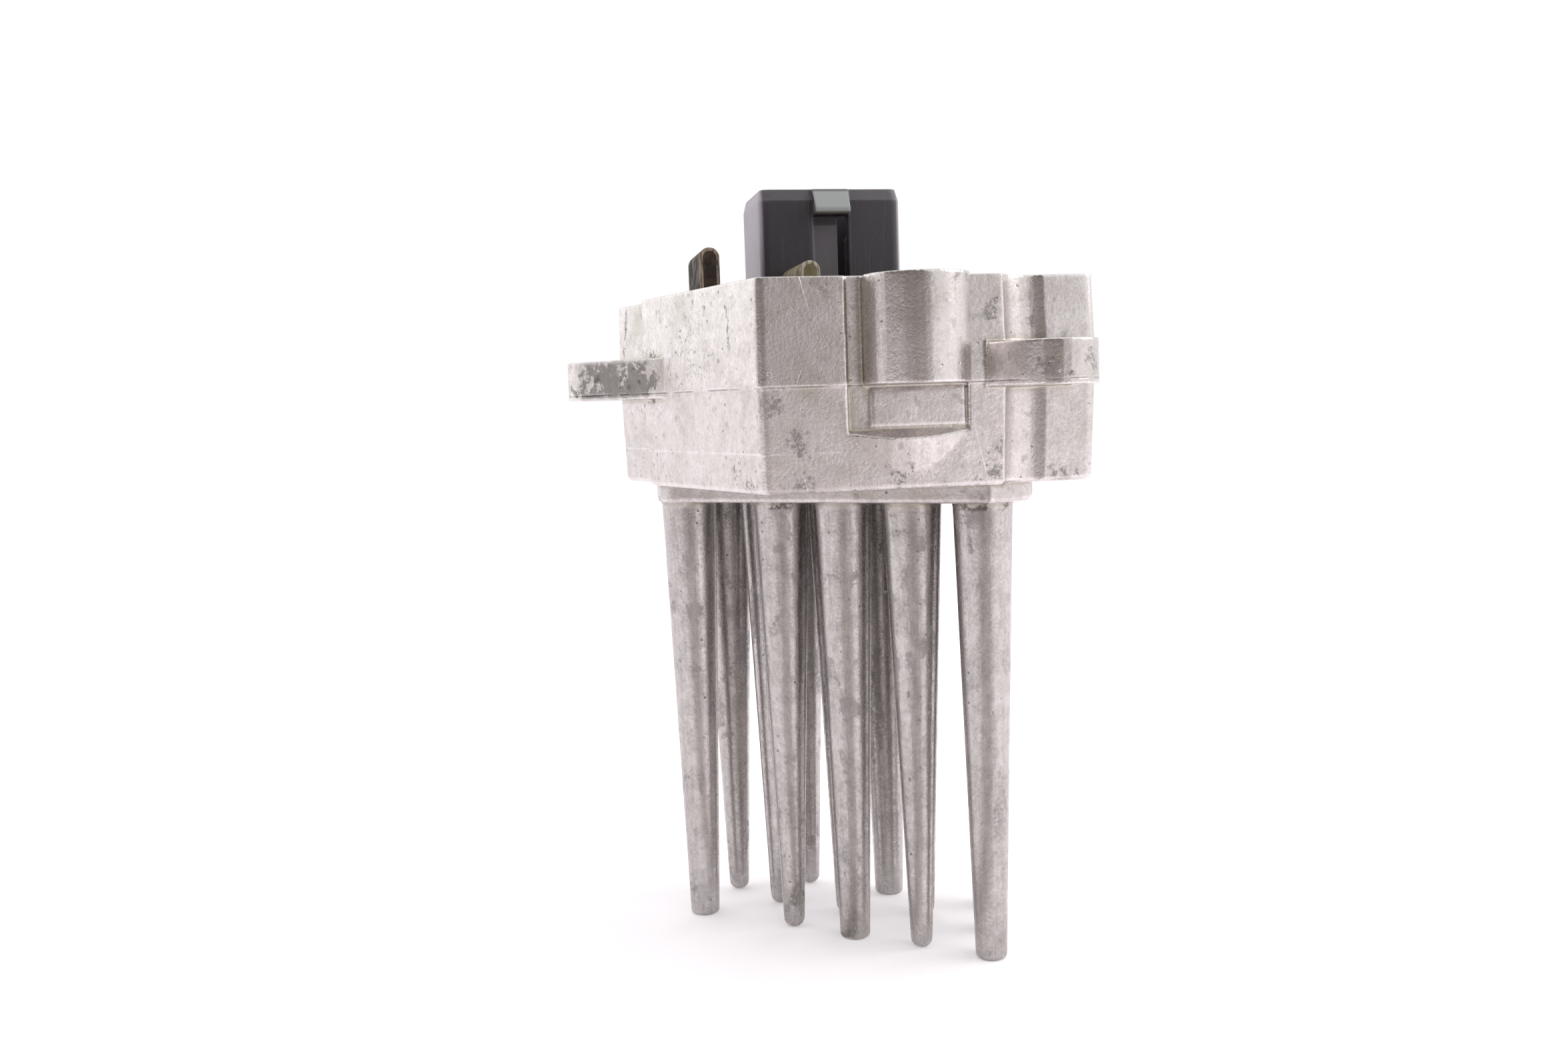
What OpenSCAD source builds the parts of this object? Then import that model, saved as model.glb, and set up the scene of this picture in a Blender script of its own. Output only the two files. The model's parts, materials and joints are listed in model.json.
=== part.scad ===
// Blower motor resistor: a die-cast heat sink with tapered cooling pins, an open tray on top,
// and a moulded lid that carries the control connector and the two motor blades.
// The front corner of the tray is the working origin: X runs along the front wall, Y to the back wall,
// Z up from the pin tips. The finished part is moved so that the middle of its footprint is the origin.

/* [Casting] */
// Length of the front wall, from the front corner to the right side
body_width = 44; // [42:0.1:50]
// Distance from the front wall to the back wall
body_depth = 48.2; // [47:0.1:54]
// Height of the tray from its underside to its rim
body_height = 25.9; // [22:0.1:32]
// Slant of the left wall away from the square, in degrees
left_slant = 18.3; // [14:0.1:22]
// Height of the parting line above the underside
parting_height = 12.9; // [11:0.1:15]
// Draft of the walls away from the parting line, in degrees
draft = 1.4; // [0.5:0.1:2.5]
// Offset between the two die halves at the parting line
die_shift = 0.15; // [0.05:0.05:0.3]
// Thickness of the tray walls above the lid
wall = 1.9; // [1.6:0.1:2.6]
// Width of the inner ledge that carries the lid
ledge = 1; // [0.6:0.1:1.5]
// Thickness of the tray floor
floor_thickness = 4; // [3:0.1:6]
// Depth of the recess that clears the screw head at each end
end_recess = 2.5; // [1.5:0.1:3]
// Length of the hollow run into each recess
end_run = 6.3; // [5:0.1:8]
// Angle between the hollow run and its chord at both ends, in degrees
run_bow = 44; // [30:1:46]
// Where the recess of the front wall starts, from the front corner
front_run_start = 30.8; // [29:0.1:32]
// Where the recess of the left wall starts, from the front wall
left_run_start = 32.5; // [30:0.1:34]
// Radius of the front corner
front_corner_radius = 1.2; // [0.6:0.1:2.5]
// Radius of the right and back corners
back_corner_radius = 2.4; // [1:0.1:4]
// Bevel round the lower edge of the tray
lower_bevel = 0.5; // [0.3:0.1:1]

/* [Cooling pins] */
// Length of the pins below the plinth
pin_length = 60.6; // [40:0.1:75]
// Radius of a pin at the plinth
pin_base_radius = 3.85; // [3.4:0.05:4.2]
// Radius of a flat pin tip
flat_tip_radius = 2.05; // [1.5:0.05:3]
// Edge radius of a flat pin tip
flat_tip_edge = 0.45; // [0.2:0.05:0.8]
// Radius of a domed pin tip
dome_tip_radius = 1.42; // [1:0.02:2]
// Radius of the small flat on top of a dome
dome_flat_radius = 0.3; // [0.2:0.05:0.5]
// Fillet between a pin and the plinth
pin_fillet = 0.5; // [0.2:0.1:0.8]
// Pitch of the pins along a row
pin_pitch = 9.75; // [9.5:0.05:10.5]
// Angle of the pin rows to the front wall, in degrees
row_angle = -36.5; // [-42:0.5:-32]
// Middle of the first pin row from the front corner, along the front wall
row_x = 14.3; // [13.5:0.1:15]
// Middle of the first pin row from the front wall
row_y = 19.05; // [18.5:0.05:20]
// Height of the plinth below the tray
plinth_height = 2.3; // [1.5:0.1:4]
// Distance of the plinth edge from the tray edge
plinth_inset = 1.7; // [1.2:0.1:2]
// Distance from the outer pin rows to the slanted plinth edges
plinth_margin = 5.3; // [4.8:0.1:6]
// Distance from the end pins to the ends of the plinth, along the rows
plinth_end = 6; // [5:0.1:9]

/* [Mounting ears] */
// Radius of the ear ends
ear_radius = 5.6; // [5:0.1:7]
// Thickness of the ears
ear_thickness = 5.5; // [4:0.1:7]
// Depth of the ears below the parting line
ear_drop = 0.7; // [0.2:0.1:1.5]
// Radius of the screw holes
ear_hole_radius = 2.25; // [1.6:0.05:2.7]
// Room from a screw hole's middle to the recessed wall, for the screw head
screw_head_room = 3.85; // [3.2:0.05:5]
// Distance of the right screw hole from the right side
right_ear_inset = 7.9; // [7:0.1:9]
// Distance of the left screw hole from the back wall
left_ear_inset = 6.9; // [6:0.1:8]
// Direction of the right ear, in degrees
right_ear_angle = -54; // [-65:1:-45]
// Direction of the left ear, in degrees
left_ear_angle = 132; // [126:1:145]

/* [Capacitor and its bulge] */
// Middle of the capacitor from the front corner, along the front wall
can_x = 19.4; // [18.5:0.1:20.5]
// Radius of the capacitor can
can_radius = 5; // [4.4:0.1:5.6]
// Height of the capacitor can
can_height = 10.5; // [8:0.1:13]
// Wall of the can
can_wall = 0.3; // [0.2:0.05:0.5]
// Height of the rubber seal in the can
can_seal_height = 2; // [1.5:0.1:3]
// Wall of the bulge around the capacitor
bulge_wall = 1.4; // [1.1:0.1:2]
// Floor of the bulge under the capacitor
bulge_floor = 1.6; // [1.2:0.1:2.4]
// Depth of the window that the die slide leaves in the front wall
window_depth = 0.75; // [0.65:0.05:0.9]
// Height of the window ledge below the parting line
window_drop = 5.4; // [4:0.1:7]
// Height of the flat panel under the bulge
panel_height = 5; // [3:0.1:5]
// Thickness of the flat panel
panel_thickness = 0.25; // [0.15:0.05:0.35]
// Gap between the flat panel and the window's edges
panel_gap = 0.35; // [0.2:0.05:0.5]
// Height of the bevel along the top of the flat panel
panel_bevel = 0.75; // [0.4:0.05:1]
// Rise of the pad under the window, at the level of the window's lower edge
pad_rise = 0.9; // [0.6:0.05:1.4]
// Height over which the pad runs out into the wall
pad_height = 6.2; // [4:0.1:6.5]
// Radius of the capacitor wires
can_wire_radius = 0.3; // [0.25:0.01:0.4]
// Distance between the capacitor wires
can_wire_pitch = 2.8; // [2:0.1:3.2]
// Distance of the wires behind the middle of the can
can_wire_offset = 4; // [3.8:0.05:4.2]

/* [Lid and connector] */
// Thickness of the lid
lid_thickness = 2; // [1.4:0.1:3]
// Gap round the lid
lid_clearance = 0.15; // [0.05:0.05:0.3]
// Width of the sealing bead
bead_width = 1.2; // [0.8:0.1:1.5]
// Height of the sealing bead
bead_height = 1.1; // [0.6:0.1:1.8]
// Middle of the connector from the front corner, along the front wall
connector_x = 16.2; // [14:0.1:18]
// Width of the connector shroud
connector_width = 20.2; // [17:0.1:23]
// Depth of the connector shroud
connector_depth = 14.4; // [13:0.1:16]
// Height of the connector above the rim
connector_reach = 14.7; // [11:0.1:18]
// Distance of the connector from the inner face of the back wall
connector_gap = 2.8; // [1.6:0.1:4]
// Wall of the connector shroud
connector_wall = 1.6; // [1.2:0.1:2]
// Depth of the connector socket
socket_depth = 14; // [10:0.1:15]
// Corner radius of the shroud
connector_radius = 1.2; // [0.5:0.1:1.5]
// Depth of the bevel round the connector mouth
mouth_bevel = 0.9; // [0.3:0.1:1]
// Height of the bevel round the connector mouth
mouth_lead = 1.6; // [0.8:0.1:2]
// Width of the latch ramp
latch_width = 5; // [3:0.1:7]
// Height of the latch ramp
latch_height = 3.6; // [2:0.1:5]
// Depth of the latch ramp
latch_depth = 1.7; // [1:0.1:2]
// Depth of the latch window below the ramp
latch_window_depth = 0.9; // [0.5:0.1:1]
// Height of the latch window
latch_window_height = 13; // [8:0.1:15]
// Width of the slot through the wall at the right of the latch window
latch_slot_width = 1.4; // [0.8:0.1:2]

/* [Terminals] */
// Thickness of the terminal strip
blade_gauge = 0.5; // [0.4:0.05:0.8]
// Thickness over the fold of a motor blade
blade_fold = 2.7; // [2.2:0.1:3]
// Width of a motor blade
blade_width = 12; // [9:0.1:13]
// Height of the left motor blade above the rim
left_blade_reach = 6; // [3:0.1:9]
// Height of the right motor blade above the rim
right_blade_reach = 3.4; // [2:0.1:8]
// Distance of the left motor blade from the front wall
left_blade_y = 22; // [20:0.1:24]
// Gap between the left motor blade and the sealing bead
left_blade_gap = 0.5; // [0.3:0.1:1]
// Distance of the right motor blade from the left side of the connector
right_blade_offset = 2.5; // [1:0.1:4]
// Gap between the right motor blade and the connector
right_blade_gap = 2; // [1:0.1:3]
// Width of a blade's solder tail
tail_width = 3; // [2:0.1:4]
// Skin that is left under a blade's pocket in the lid
pocket_skin = 0.8; // [0.5:0.1:1.2]
// Pitch of the control pins
control_pitch = 5.05; // [4.2:0.05:5.5]
// Width of a control pin
control_width = 2.8; // [2:0.1:3]
// Thickness of a control pin
control_gauge = 0.8; // [0.6:0.05:1]
// Height of a control pin in the socket
control_reach = 9; // [6:0.1:9.5]

/* [Power stage] */
// Width of a power transistor
transistor_width = 15; // [12:0.1:16]
// Length of a power transistor
transistor_length = 20; // [16:0.1:22]
// Thickness of a power transistor
transistor_thickness = 5; // [4:0.1:6]
// Thickness of the metal tab under a transistor
tab_thickness = 1.6; // [1:0.1:2]
// Gap between the two transistors
transistor_gap = 6; // [5:0.1:7]
// Pitch of the transistor legs
leg_pitch = 5.4; // [4.5:0.1:6]
// Width of a transistor leg
leg_width = 1.2; // [0.8:0.1:1.6]
// Thickness of a transistor leg
leg_gauge = 0.6; // [0.4:0.05:0.8]
// Distance from a transistor to the bend of its legs
leg_reach = 3; // [2:0.1:3.5]
// Thickness of the insulating pads
pad_thickness = 0.3; // [0.2:0.05:0.5]
// Border of a pad round its transistor
pad_border = 0.5; // [0.3:0.05:0.8]
// Thickness of the clamp spring
spring_thickness = 0.8; // [0.6:0.05:1.2]
// Width of the clamp spring
spring_width = 10; // [8:0.1:12]
// Overlap of the clamp spring on each transistor
spring_grip = 9; // [6:0.1:11]
// Radius of the clamp screw
clamp_screw_radius = 2; // [1.5:0.05:2.2]
// Depth of the clamp screw in the casting
clamp_screw_depth = 4.6; // [4:0.1:5]
// Radius of the clamp screw's head
clamp_head_radius = 3.6; // [3:0.1:4]
// Height of the clamp screw's head
clamp_head_height = 2.4; // [1.8:0.1:3]

/* [Circuit board] */
// Thickness of the circuit board
board_thickness = 1.6; // [1.2:0.1:2]
// Gap round the circuit board
board_clearance = 0.25; // [0.15:0.05:0.4]
// Room for parts between the board and the lid
board_room = 2.5; // [2.4:0.1:3.5]
// Radius of the posts that carry the board
post_radius = 3.2; // [2.8:0.1:3.4]
// Distance of the front post from the front wall
front_post_y = 7.5; // [7:0.1:8]
// Distance of the front post from the left wall
front_post_inset = 5.9; // [5.8:0.1:6.4]
// Distance of the back post from the right side and the back wall
back_post_inset = 5.9; // [5.8:0.1:6.4]
// Radius of the board screws
board_screw_radius = 1.5; // [1.2:0.05:1.6]
// Depth of the board screws in the posts
board_screw_depth = 6; // [4:0.1:7]
// Radius of the board screws' heads
board_head_radius = 2.7; // [2.4:0.1:3]
// Height of the board screws' heads
board_head_height = 1.8; // [1.4:0.1:2.2]
// Length of the control chip
chip_length = 5; // [4:0.1:6]
// Width of the control chip
chip_width = 4; // [3.5:0.1:4.5]
// Height of the control chip
chip_height = 1.6; // [1.2:0.1:2]
// Length of the shunt strip
shunt_length = 12; // [9:0.1:12.5]
// Width of the shunt strip
shunt_width = 3; // [2:0.1:3.5]
// Height of the shunt bridge above the board
shunt_height = 1.8; // [1.2:0.1:2.1]
// Thickness of the shunt strip
shunt_gauge = 0.5; // [0.3:0.05:0.7]
// Length of the suppressor diode
diode_length = 7; // [6:0.1:8]
// Width of the suppressor diode
diode_width = 6; // [5:0.1:6.5]
// Height of the suppressor diode
diode_height = 2; // [1.6:0.1:2.2]
// Pitch of the small chip parts on the board
small_part_pitch = 3.5; // [3.3:0.1:3.8]
// Number of chip resistors
resistor_count = 4; // [2:1:4]
// Length of a chip resistor
resistor_length = 2; // [1.6:0.1:2.4]
// Width of a chip resistor
resistor_width = 1.25; // [0.8:0.05:1.6]
// Height of a chip resistor
resistor_height = 0.55; // [0.4:0.05:0.7]
// Number of chip capacitors
ceramic_count = 3; // [2:1:3]
// Length of a chip capacitor
ceramic_length = 3.2; // [2:0.1:3.2]
// Width of a chip capacitor
ceramic_width = 1.6; // [1.2:0.1:1.8]
// Height of a chip capacitor
ceramic_height = 1.2; // [0.8:0.1:1.4]
// Pitch of the legs of the control chip
chip_leg_pitch = 1.27; // [1:0.01:1.27]
// Length of a foot of the control chip
chip_leg_length = 1; // [0.6:0.1:1.2]
// Thickness of a leg of the control chip
chip_leg_gauge = 0.2; // [0.15:0.01:0.25]

/* [Hidden] */
$fn = 48;

// Small overlap that makes a cut run clean through a face
cut = 1;
// Play between a screw or a wire and its hole
hole_play = 0.1;
// Play between a terminal and its slot
slot_play = 0.05;
// Number of straight pieces in a rounded corner, a hollow run, a pin's dome or an ear's end
corner_steps = 5;
run_steps = 12;
dome_steps = 6;
ear_steps = 16;

// Levels, from the pin tips upward
underside_z = pin_length + plinth_height;
parting_z = underside_z + parting_height;
rim_z = underside_z + body_height;
floor_z = underside_z + floor_thickness;
ear_z = parting_z - ear_drop;
transistor_z = floor_z + pad_thickness;
spring_z = transistor_z + transistor_thickness;
clamp_head_z = spring_z + spring_thickness;
board_z = clamp_head_z + clamp_head_height + board_clearance;
board_top = board_z + board_thickness;
lid_z = board_top + board_room;
lid_top = lid_z + lid_thickness;
can_z = max(parting_z + bulge_floor, board_top + board_clearance);
connector_top = rim_z + connector_reach;
socket_z = connector_top - socket_depth;
latch_z = connector_top - slot_play - latch_height;
tail_z = board_z - board_clearance;
window_z = parting_z - window_drop;

// A point on the left wall at a given depth, moved inward by a given distance
function left_x(y, inset) = -tan(left_slant) * y + inset / cos(left_slant);

// Middle of the tray, where the clamp holds both transistors down
lower_inset = wall + ledge;
clamp_y = body_depth / 2 + leg_reach + leg_gauge;
clamp_x = (left_x(clamp_y, lower_inset) + body_width - lower_inset) / 2;
transistor_step = (transistor_width + transistor_gap) / 2;
transistor_front = clamp_y - transistor_length / 2;
leg_y = transistor_front - leg_reach;

// Ears, posts, connector and blades
right_ear = [body_width - right_ear_inset, end_recess - screw_head_room];
left_ear_y = body_depth - left_ear_inset;
left_ear = [left_x(left_ear_y, end_recess - screw_head_room), left_ear_y];
front_post = [left_x(front_post_y, front_post_inset), front_post_y];
back_post = [body_width - back_post_inset, body_depth - back_post_inset];
posts = [front_post, back_post];
connector_left = connector_x - connector_width / 2;
connector_back = body_depth - wall - connector_gap;
connector_front = connector_back - connector_depth;
connector_y = connector_front + connector_depth / 2;
left_blade = [left_x(left_blade_y, wall + bead_width + left_blade_gap), left_blade_y];
right_blade = [connector_left + right_blade_offset, connector_front - right_blade_gap - blade_width];
tail_offset = (blade_width - tail_width) / 2;

// Capacitor pocket and the window round it
pocket_radius = can_radius + lid_clearance;
bulge_radius = pocket_radius + bulge_wall;
window_left = can_x - bulge_radius - 2 * ledge;
window_right = can_x + bulge_radius;
panel_left = can_x - bulge_radius + ledge;
can_wires = [for (side = [-1, 1]) [can_x + side * can_wire_pitch / 2, can_wire_offset]];

// Places of the parts on the board
chip_place = [can_x - bulge_radius - ledge, front_post_y + ledge];
shunt_place = [can_x + can_radius + shunt_length / 2, front_post_y + ledge];
diode_place = [body_width - lower_inset - board_clearance - diode_length / 2 - ledge, clamp_y - ledge];
small_part_y = transistor_front + small_part_pitch;

// Footprint of the whole part
left_edge = left_ear[0] - ear_radius;
front_edge = min(right_ear[1] - ear_radius, -bulge_radius);
middle = [(left_edge + body_width) / 2, (front_edge + body_depth) / 2];

// Pin rows: place along the row and across it in pitches, and whether the tip is flat
pin_grid = [
    [2, 0, true], [1, 0, false], [0, 0, true], [-0.97, 0.03, false], [-2.45, 0.03, true],
    [1.74, 0.86, false], [0.64, 1.12, false], [-0.47, 0.8, false], [-1.55, 0.79, false],
    [-2.42, 1.09, false], [1.48, 1.74, true], [-0.16, 1.76, true], [-1.48, 1.71, false],
];
function turn(p, angle) = [p[0] * cos(angle) - p[1] * sin(angle), p[0] * sin(angle) + p[1] * cos(angle)];
function pin_place(pin) = [row_x, row_y] + turn(pin_pitch * [pin[0], pin[1]], row_angle);

// A pin is cast where its whole root lies on the plinth
root_radius = pin_base_radius + pin_fillet;
pin_edge = plinth_inset + pin_base_radius;
first_pin = min([for (pin = pin_grid) pin[0]]) * pin_pitch;
last_pin = max([for (pin = pin_grid) pin[0]]) * pin_pitch;
last_row = max([for (pin = pin_grid) pin[1]]) * pin_pitch;
function fits(p) = p[0] < body_width - pin_edge && p[1] < body_depth - pin_edge && p[1] > pin_edge
    && p[0] > left_x(p[1], pin_edge);

// Points of a rounded corner between two straight edges
function unit(v) = v / norm(v);
function corner(before, at, after, radius) =
    let (
        u = unit(before - at),
        v = unit(after - at),
        half = acos(u * v) / 2,
        centre = at + unit(u + v) * radius / sin(half),
        start = at + u * radius / tan(half) - centre,
        sweep = (180 - 2 * half) * sign(u[0] * v[1] - u[1] * v[0])
    )
    [for (i = [0:corner_steps]) centre + turn(start, -sweep * i / corner_steps)];

// Points of a hollow run, an arc that ends at a given side step
function hollow_run(start, along, side, length, step, bow) =
    let (
        first = atan2(step, length) + bow,
        radius = norm([length, step]) / (2 * sin(bow))
    )
    [for (i = [0:run_steps])
        let (a = first - 2 * bow * i / run_steps)
        start + along * radius * (sin(first) - sin(a)) + side * radius * (cos(a) - cos(first))];

// Outline of the tray at the parting line, anticlockwise from the front corner
left_along = [sin(left_slant), -cos(left_slant)];
left_out = [-cos(left_slant), -sin(left_slant)];
front_corner = [0, 0];
right_front = [body_width, end_recess];
right_back = [body_width, body_depth];
left_back = [left_x(body_depth, end_recess), body_depth];
left_recess_end = [left_x(left_run_start + end_run, end_recess), left_run_start + end_run];
left_wall_end = [left_x(left_run_start, 0), left_run_start];
left_run = (left_wall_end - left_recess_end) * left_along;
tray_outline = concat(
    corner(left_wall_end, front_corner, [body_width, 0], front_corner_radius),
    hollow_run([front_run_start, 0], [1, 0], [0, 1], end_run, end_recess, run_bow),
    corner([front_run_start, end_recess], right_front, right_back, front_corner_radius),
    corner(right_front, right_back, left_back, back_corner_radius),
    corner(right_back, left_back, left_recess_end, front_corner_radius),
    hollow_run(left_recess_end, left_along, left_out, left_run, end_recess, -run_bow)
);

// Outline of the hollow, set in from the walls by a given distance
function hollow_points(inset) = [
    [left_x(inset, inset), inset],
    [front_run_start - end_recess, inset],
    [front_run_start + end_recess, end_recess + inset],
    [body_width - inset, end_recess + inset],
    [body_width - inset, body_depth - inset],
    [left_x(body_depth - inset, end_recess + inset), body_depth - inset],
    [left_x(left_run_start + end_recess, end_recess + inset), left_run_start + end_recess],
    [left_x(left_run_start - end_recess, inset), left_run_start - end_recess],
];

// Puts a sub-part from the working frame into the part's own frame
module placed() {
    translate([-middle[0], -middle[1], 0]) children();
}

module hollow(inset, bottom, top) {
    translate([0, 0, bottom]) linear_extrude(top - bottom) polygon(hollow_points(inset));
}

// Tray outline that shrinks by a given distance over a given height
module drafted(height, start_inset, end_inset) {
    reach = body_width / 2;
    first = 1 - start_inset / reach;
    last = 1 - end_inset / reach;
    translate([middle[0], middle[1], 0])
        linear_extrude(height, scale = last / first)
            scale(first)
                translate(-middle) polygon(tray_outline);
}

// One cooling pin, from its tip to its filleted root
module cooling_pin(flat) {
    tip_radius = flat ? flat_tip_radius : dome_tip_radius;
    edge = flat ? flat_tip_edge : dome_tip_radius - dome_flat_radius;
    tip = [for (i = [0:dome_steps])
        let (a = 90 * i / dome_steps)
        [tip_radius - edge + edge * sin(a), edge - edge * cos(a)]];
    root = [for (i = [0:dome_steps])
        let (a = 90 * i / dome_steps)
        [root_radius - pin_fillet * cos(a), pin_length - pin_fillet + pin_fillet * sin(a)]];
    top = pin_length + plinth_height / 2;
    rotate_extrude() polygon(concat([[0, 0]], tip, root, [[root_radius, top], [0, top]]));
}

// Raised land under the tray that carries the pins, cut off along the pin rows
module plinth() {
    height = plinth_height + floor_thickness / 2;
    length = last_pin - first_pin + 2 * plinth_end;
    intersection() {
        translate([0, 0, pin_length]) drafted(height, plinth_inset, plinth_inset);
        translate([row_x, row_y, pin_length])
            rotate(row_angle)
                translate([first_pin - plinth_end, -plinth_margin, 0])
                    cube([length, last_row + 2 * plinth_margin, height]);
    }
}

// Screw ear with a round end and straight sides that run into the tray wall
module ear(centre, angle) {
    root = 3 * ear_radius;
    round_end = [for (i = [0:ear_steps])
        let (a = 180 * i / ear_steps - 90)
        ear_radius * [cos(a), sin(a)]];
    translate([centre[0], centre[1], ear_z])
        rotate(angle)
            linear_extrude(ear_thickness)
                polygon(concat(round_end, [[-root, ear_radius], [-root, -ear_radius]]));
}

// A profile of depths and heights, drawn out along the front wall
module along_front(from, to, profile) {
    translate([from, 0, 0]) rotate([90, 0, 90]) linear_extrude(to - from) polygon(profile);
}

// Recess that the die slide leaves in the front wall: its lower edge slopes outward and down,
// and a flat panel with a bevelled top is left standing in it
module slide_window() {
    reach = pad_rise + cut;
    face = window_depth - panel_thickness;
    back = window_depth + cut;
    panel_z = window_z + panel_gap;
    panel_top = panel_z + panel_height;
    difference() {
        along_front(window_left, window_right, [
            [-reach, window_z - window_depth - reach],
            [window_depth, window_z],
            [window_depth, rim_z + cut],
            [-reach, rim_z + cut],
        ]);
        along_front(panel_left, window_right - panel_gap, [
            [face, panel_z],
            [back, panel_z],
            [back, panel_top],
            [window_depth, panel_top],
            [face, panel_top - panel_bevel],
        ]);
    }
}

// Rounded pad under the window that runs out into the wall
module slide_pad() {
    width = window_right - window_left;
    wall_y = die_shift + window_drop * tan(draft);
    radius = (width * width / 4 + pad_rise * pad_rise) / (2 * pad_rise);
    foot = radius - pad_rise - pad_height * tan(draft) - hole_play;
    bottom = window_z - pad_height;
    intersection() {
        translate([window_left, -pad_rise, bottom]) cube([width, pad_rise + wall, pad_height]);
        translate([window_left + width / 2, wall_y + radius - pad_rise, bottom])
            cylinder(h = pad_height, r1 = foot, r2 = radius);
    }
}

module heat_sink() {
    upper_height = body_height - parting_height;
    lower_height = parting_height - lower_bevel;
    lower_inset_end = lower_height * tan(draft);
    bevel_inset = die_shift + lower_inset_end + hole_play / 2;
    color([0.68, 0.69, 0.71]) placed() difference() {
        union() {
            difference() {
                union() {
                    translate([0, 0, parting_z]) drafted(upper_height, 0, upper_height * tan(draft));
                    translate([0, 0, parting_z])
                        mirror([0, 0, 1]) drafted(lower_height, die_shift, die_shift + lower_inset_end);
                    translate([0, 0, underside_z + lower_bevel])
                        mirror([0, 0, 1])
                            drafted(lower_bevel, bevel_inset, bevel_inset + lower_bevel);
                    slide_pad();
                }
                slide_window();
            }
            translate([can_x, 0, parting_z]) cylinder(h = body_height - parting_height, r = bulge_radius);
            ear(right_ear, right_ear_angle);
            ear(left_ear, left_ear_angle);
            plinth();
            for (pin = pin_grid)
                if (fits(pin_place(pin)))
                    translate(pin_place(pin)) cooling_pin(pin[2]);
        }
        difference() {
            union() {
                hollow(wall, lid_z, rim_z + cut);
                hollow(lower_inset, floor_z, lid_z + cut);
            }
            for (post = posts)
                translate([post[0], post[1], floor_z - cut])
                    cylinder(h = board_z - floor_z + cut, r = post_radius);
        }
        translate([can_x, 0, can_z]) cylinder(h = body_height, r = pocket_radius);
        for (hole = [right_ear, left_ear])
            translate([hole[0], hole[1], ear_z - cut])
                cylinder(h = ear_thickness + 2 * cut, r = ear_hole_radius);
        for (post = posts)
            translate([post[0], post[1], board_z - board_screw_depth - cut])
                cylinder(h = board_screw_depth + 2 * cut, r = board_screw_radius + hole_play);
        translate([clamp_x, clamp_y, floor_z - clamp_screw_depth])
            cylinder(h = clamp_screw_depth + cut, r = clamp_screw_radius + hole_play);
    }
}

// Connector shroud: a block with rounded corners and a bevelled mouth
function shroud_points(width, depth, radius) =
    let (
        x = width / 2,
        y = depth / 2,
        points = [[-x, -y], [x, -y], [x, y], [-x, y]]
    )
    [for (i = [0:3]) each corner(points[(i + 3) % 4], points[i], points[(i + 1) % 4], radius)];

module shroud() {
    straight = connector_top - lid_z - mouth_lead;
    translate([connector_x, connector_y, lid_z]) {
        linear_extrude(straight) polygon(shroud_points(connector_width, connector_depth, connector_radius));
        translate([0, 0, straight])
            linear_extrude(mouth_lead, scale = 1 - 2 * mouth_bevel / connector_width)
                polygon(shroud_points(connector_width, connector_depth, connector_radius));
    }
}

module latch_ramp() {
    lip = latch_depth / 2;
    translate([connector_x - latch_width / 2, connector_front, latch_z])
        rotate([90, 0, 90])
            linear_extrude(latch_width)
                polygon([[mouth_bevel + lip, 0], [-latch_depth, 0], [-latch_depth, lip], [0, latch_height],
                    [mouth_bevel + lip, latch_height]]);
}

// Slots in the lid for one motor blade: a pocket for the fold and a way through for the tail
module blade_slots(place) {
    translate([place[0] - slot_play, place[1] - slot_play, lid_z + pocket_skin])
        cube([blade_fold + 2 * slot_play, blade_width + 2 * slot_play, lid_thickness]);
    translate([place[0] - slot_play, place[1] + tail_offset - slot_play, lid_z - cut])
        cube([blade_gauge + 2 * slot_play, tail_width + 2 * slot_play, lid_thickness + cut]);
}

function control_x(index) = connector_x + (index - 1) * control_pitch;

module lid() {
    inner_width = connector_width - 2 * connector_wall;
    inner_depth = connector_depth - 2 * connector_wall;
    color([0.08, 0.08, 0.09]) placed() difference() {
        union() {
            hollow(wall + lid_clearance, lid_z, lid_top);
            shroud();
            latch_ramp();
        }
        translate([connector_x, connector_y, socket_z])
            linear_extrude(socket_depth + cut)
                polygon(shroud_points(inner_width, inner_depth, connector_radius / 2));
        translate([connector_x - latch_width / 2, connector_front - cut, latch_z - latch_window_height])
            cube([latch_width, cut + latch_window_depth, latch_window_height]);
        translate([connector_x + latch_width / 2 - latch_slot_width, connector_front - cut, socket_z])
            cube([latch_slot_width, connector_wall + 2 * cut, latch_z - socket_z]);
        blade_slots(left_blade);
        blade_slots(right_blade);
        for (i = [0:2])
            translate([control_x(i) - control_width / 2 - slot_play,
                connector_y - control_gauge / 2 - slot_play, lid_z - cut])
                cube([control_width + 2 * slot_play, control_gauge + 2 * slot_play, connector_top - lid_z]);
        translate([can_x, 0, lid_z - cut]) cylinder(h = lid_thickness + 2 * cut, r = pocket_radius);
    }
}

module sealing_bead() {
    color([0.82, 0.83, 0.8, 0.8]) placed() difference() {
        hollow(wall, lid_top, lid_top + bead_height);
        hollow(wall + bead_width, lid_top - cut, lid_top + bead_height + cut);
        translate([can_x, 0, lid_top - cut]) cylinder(h = bead_height + 2 * cut, r = pocket_radius);
    }
}

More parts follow.
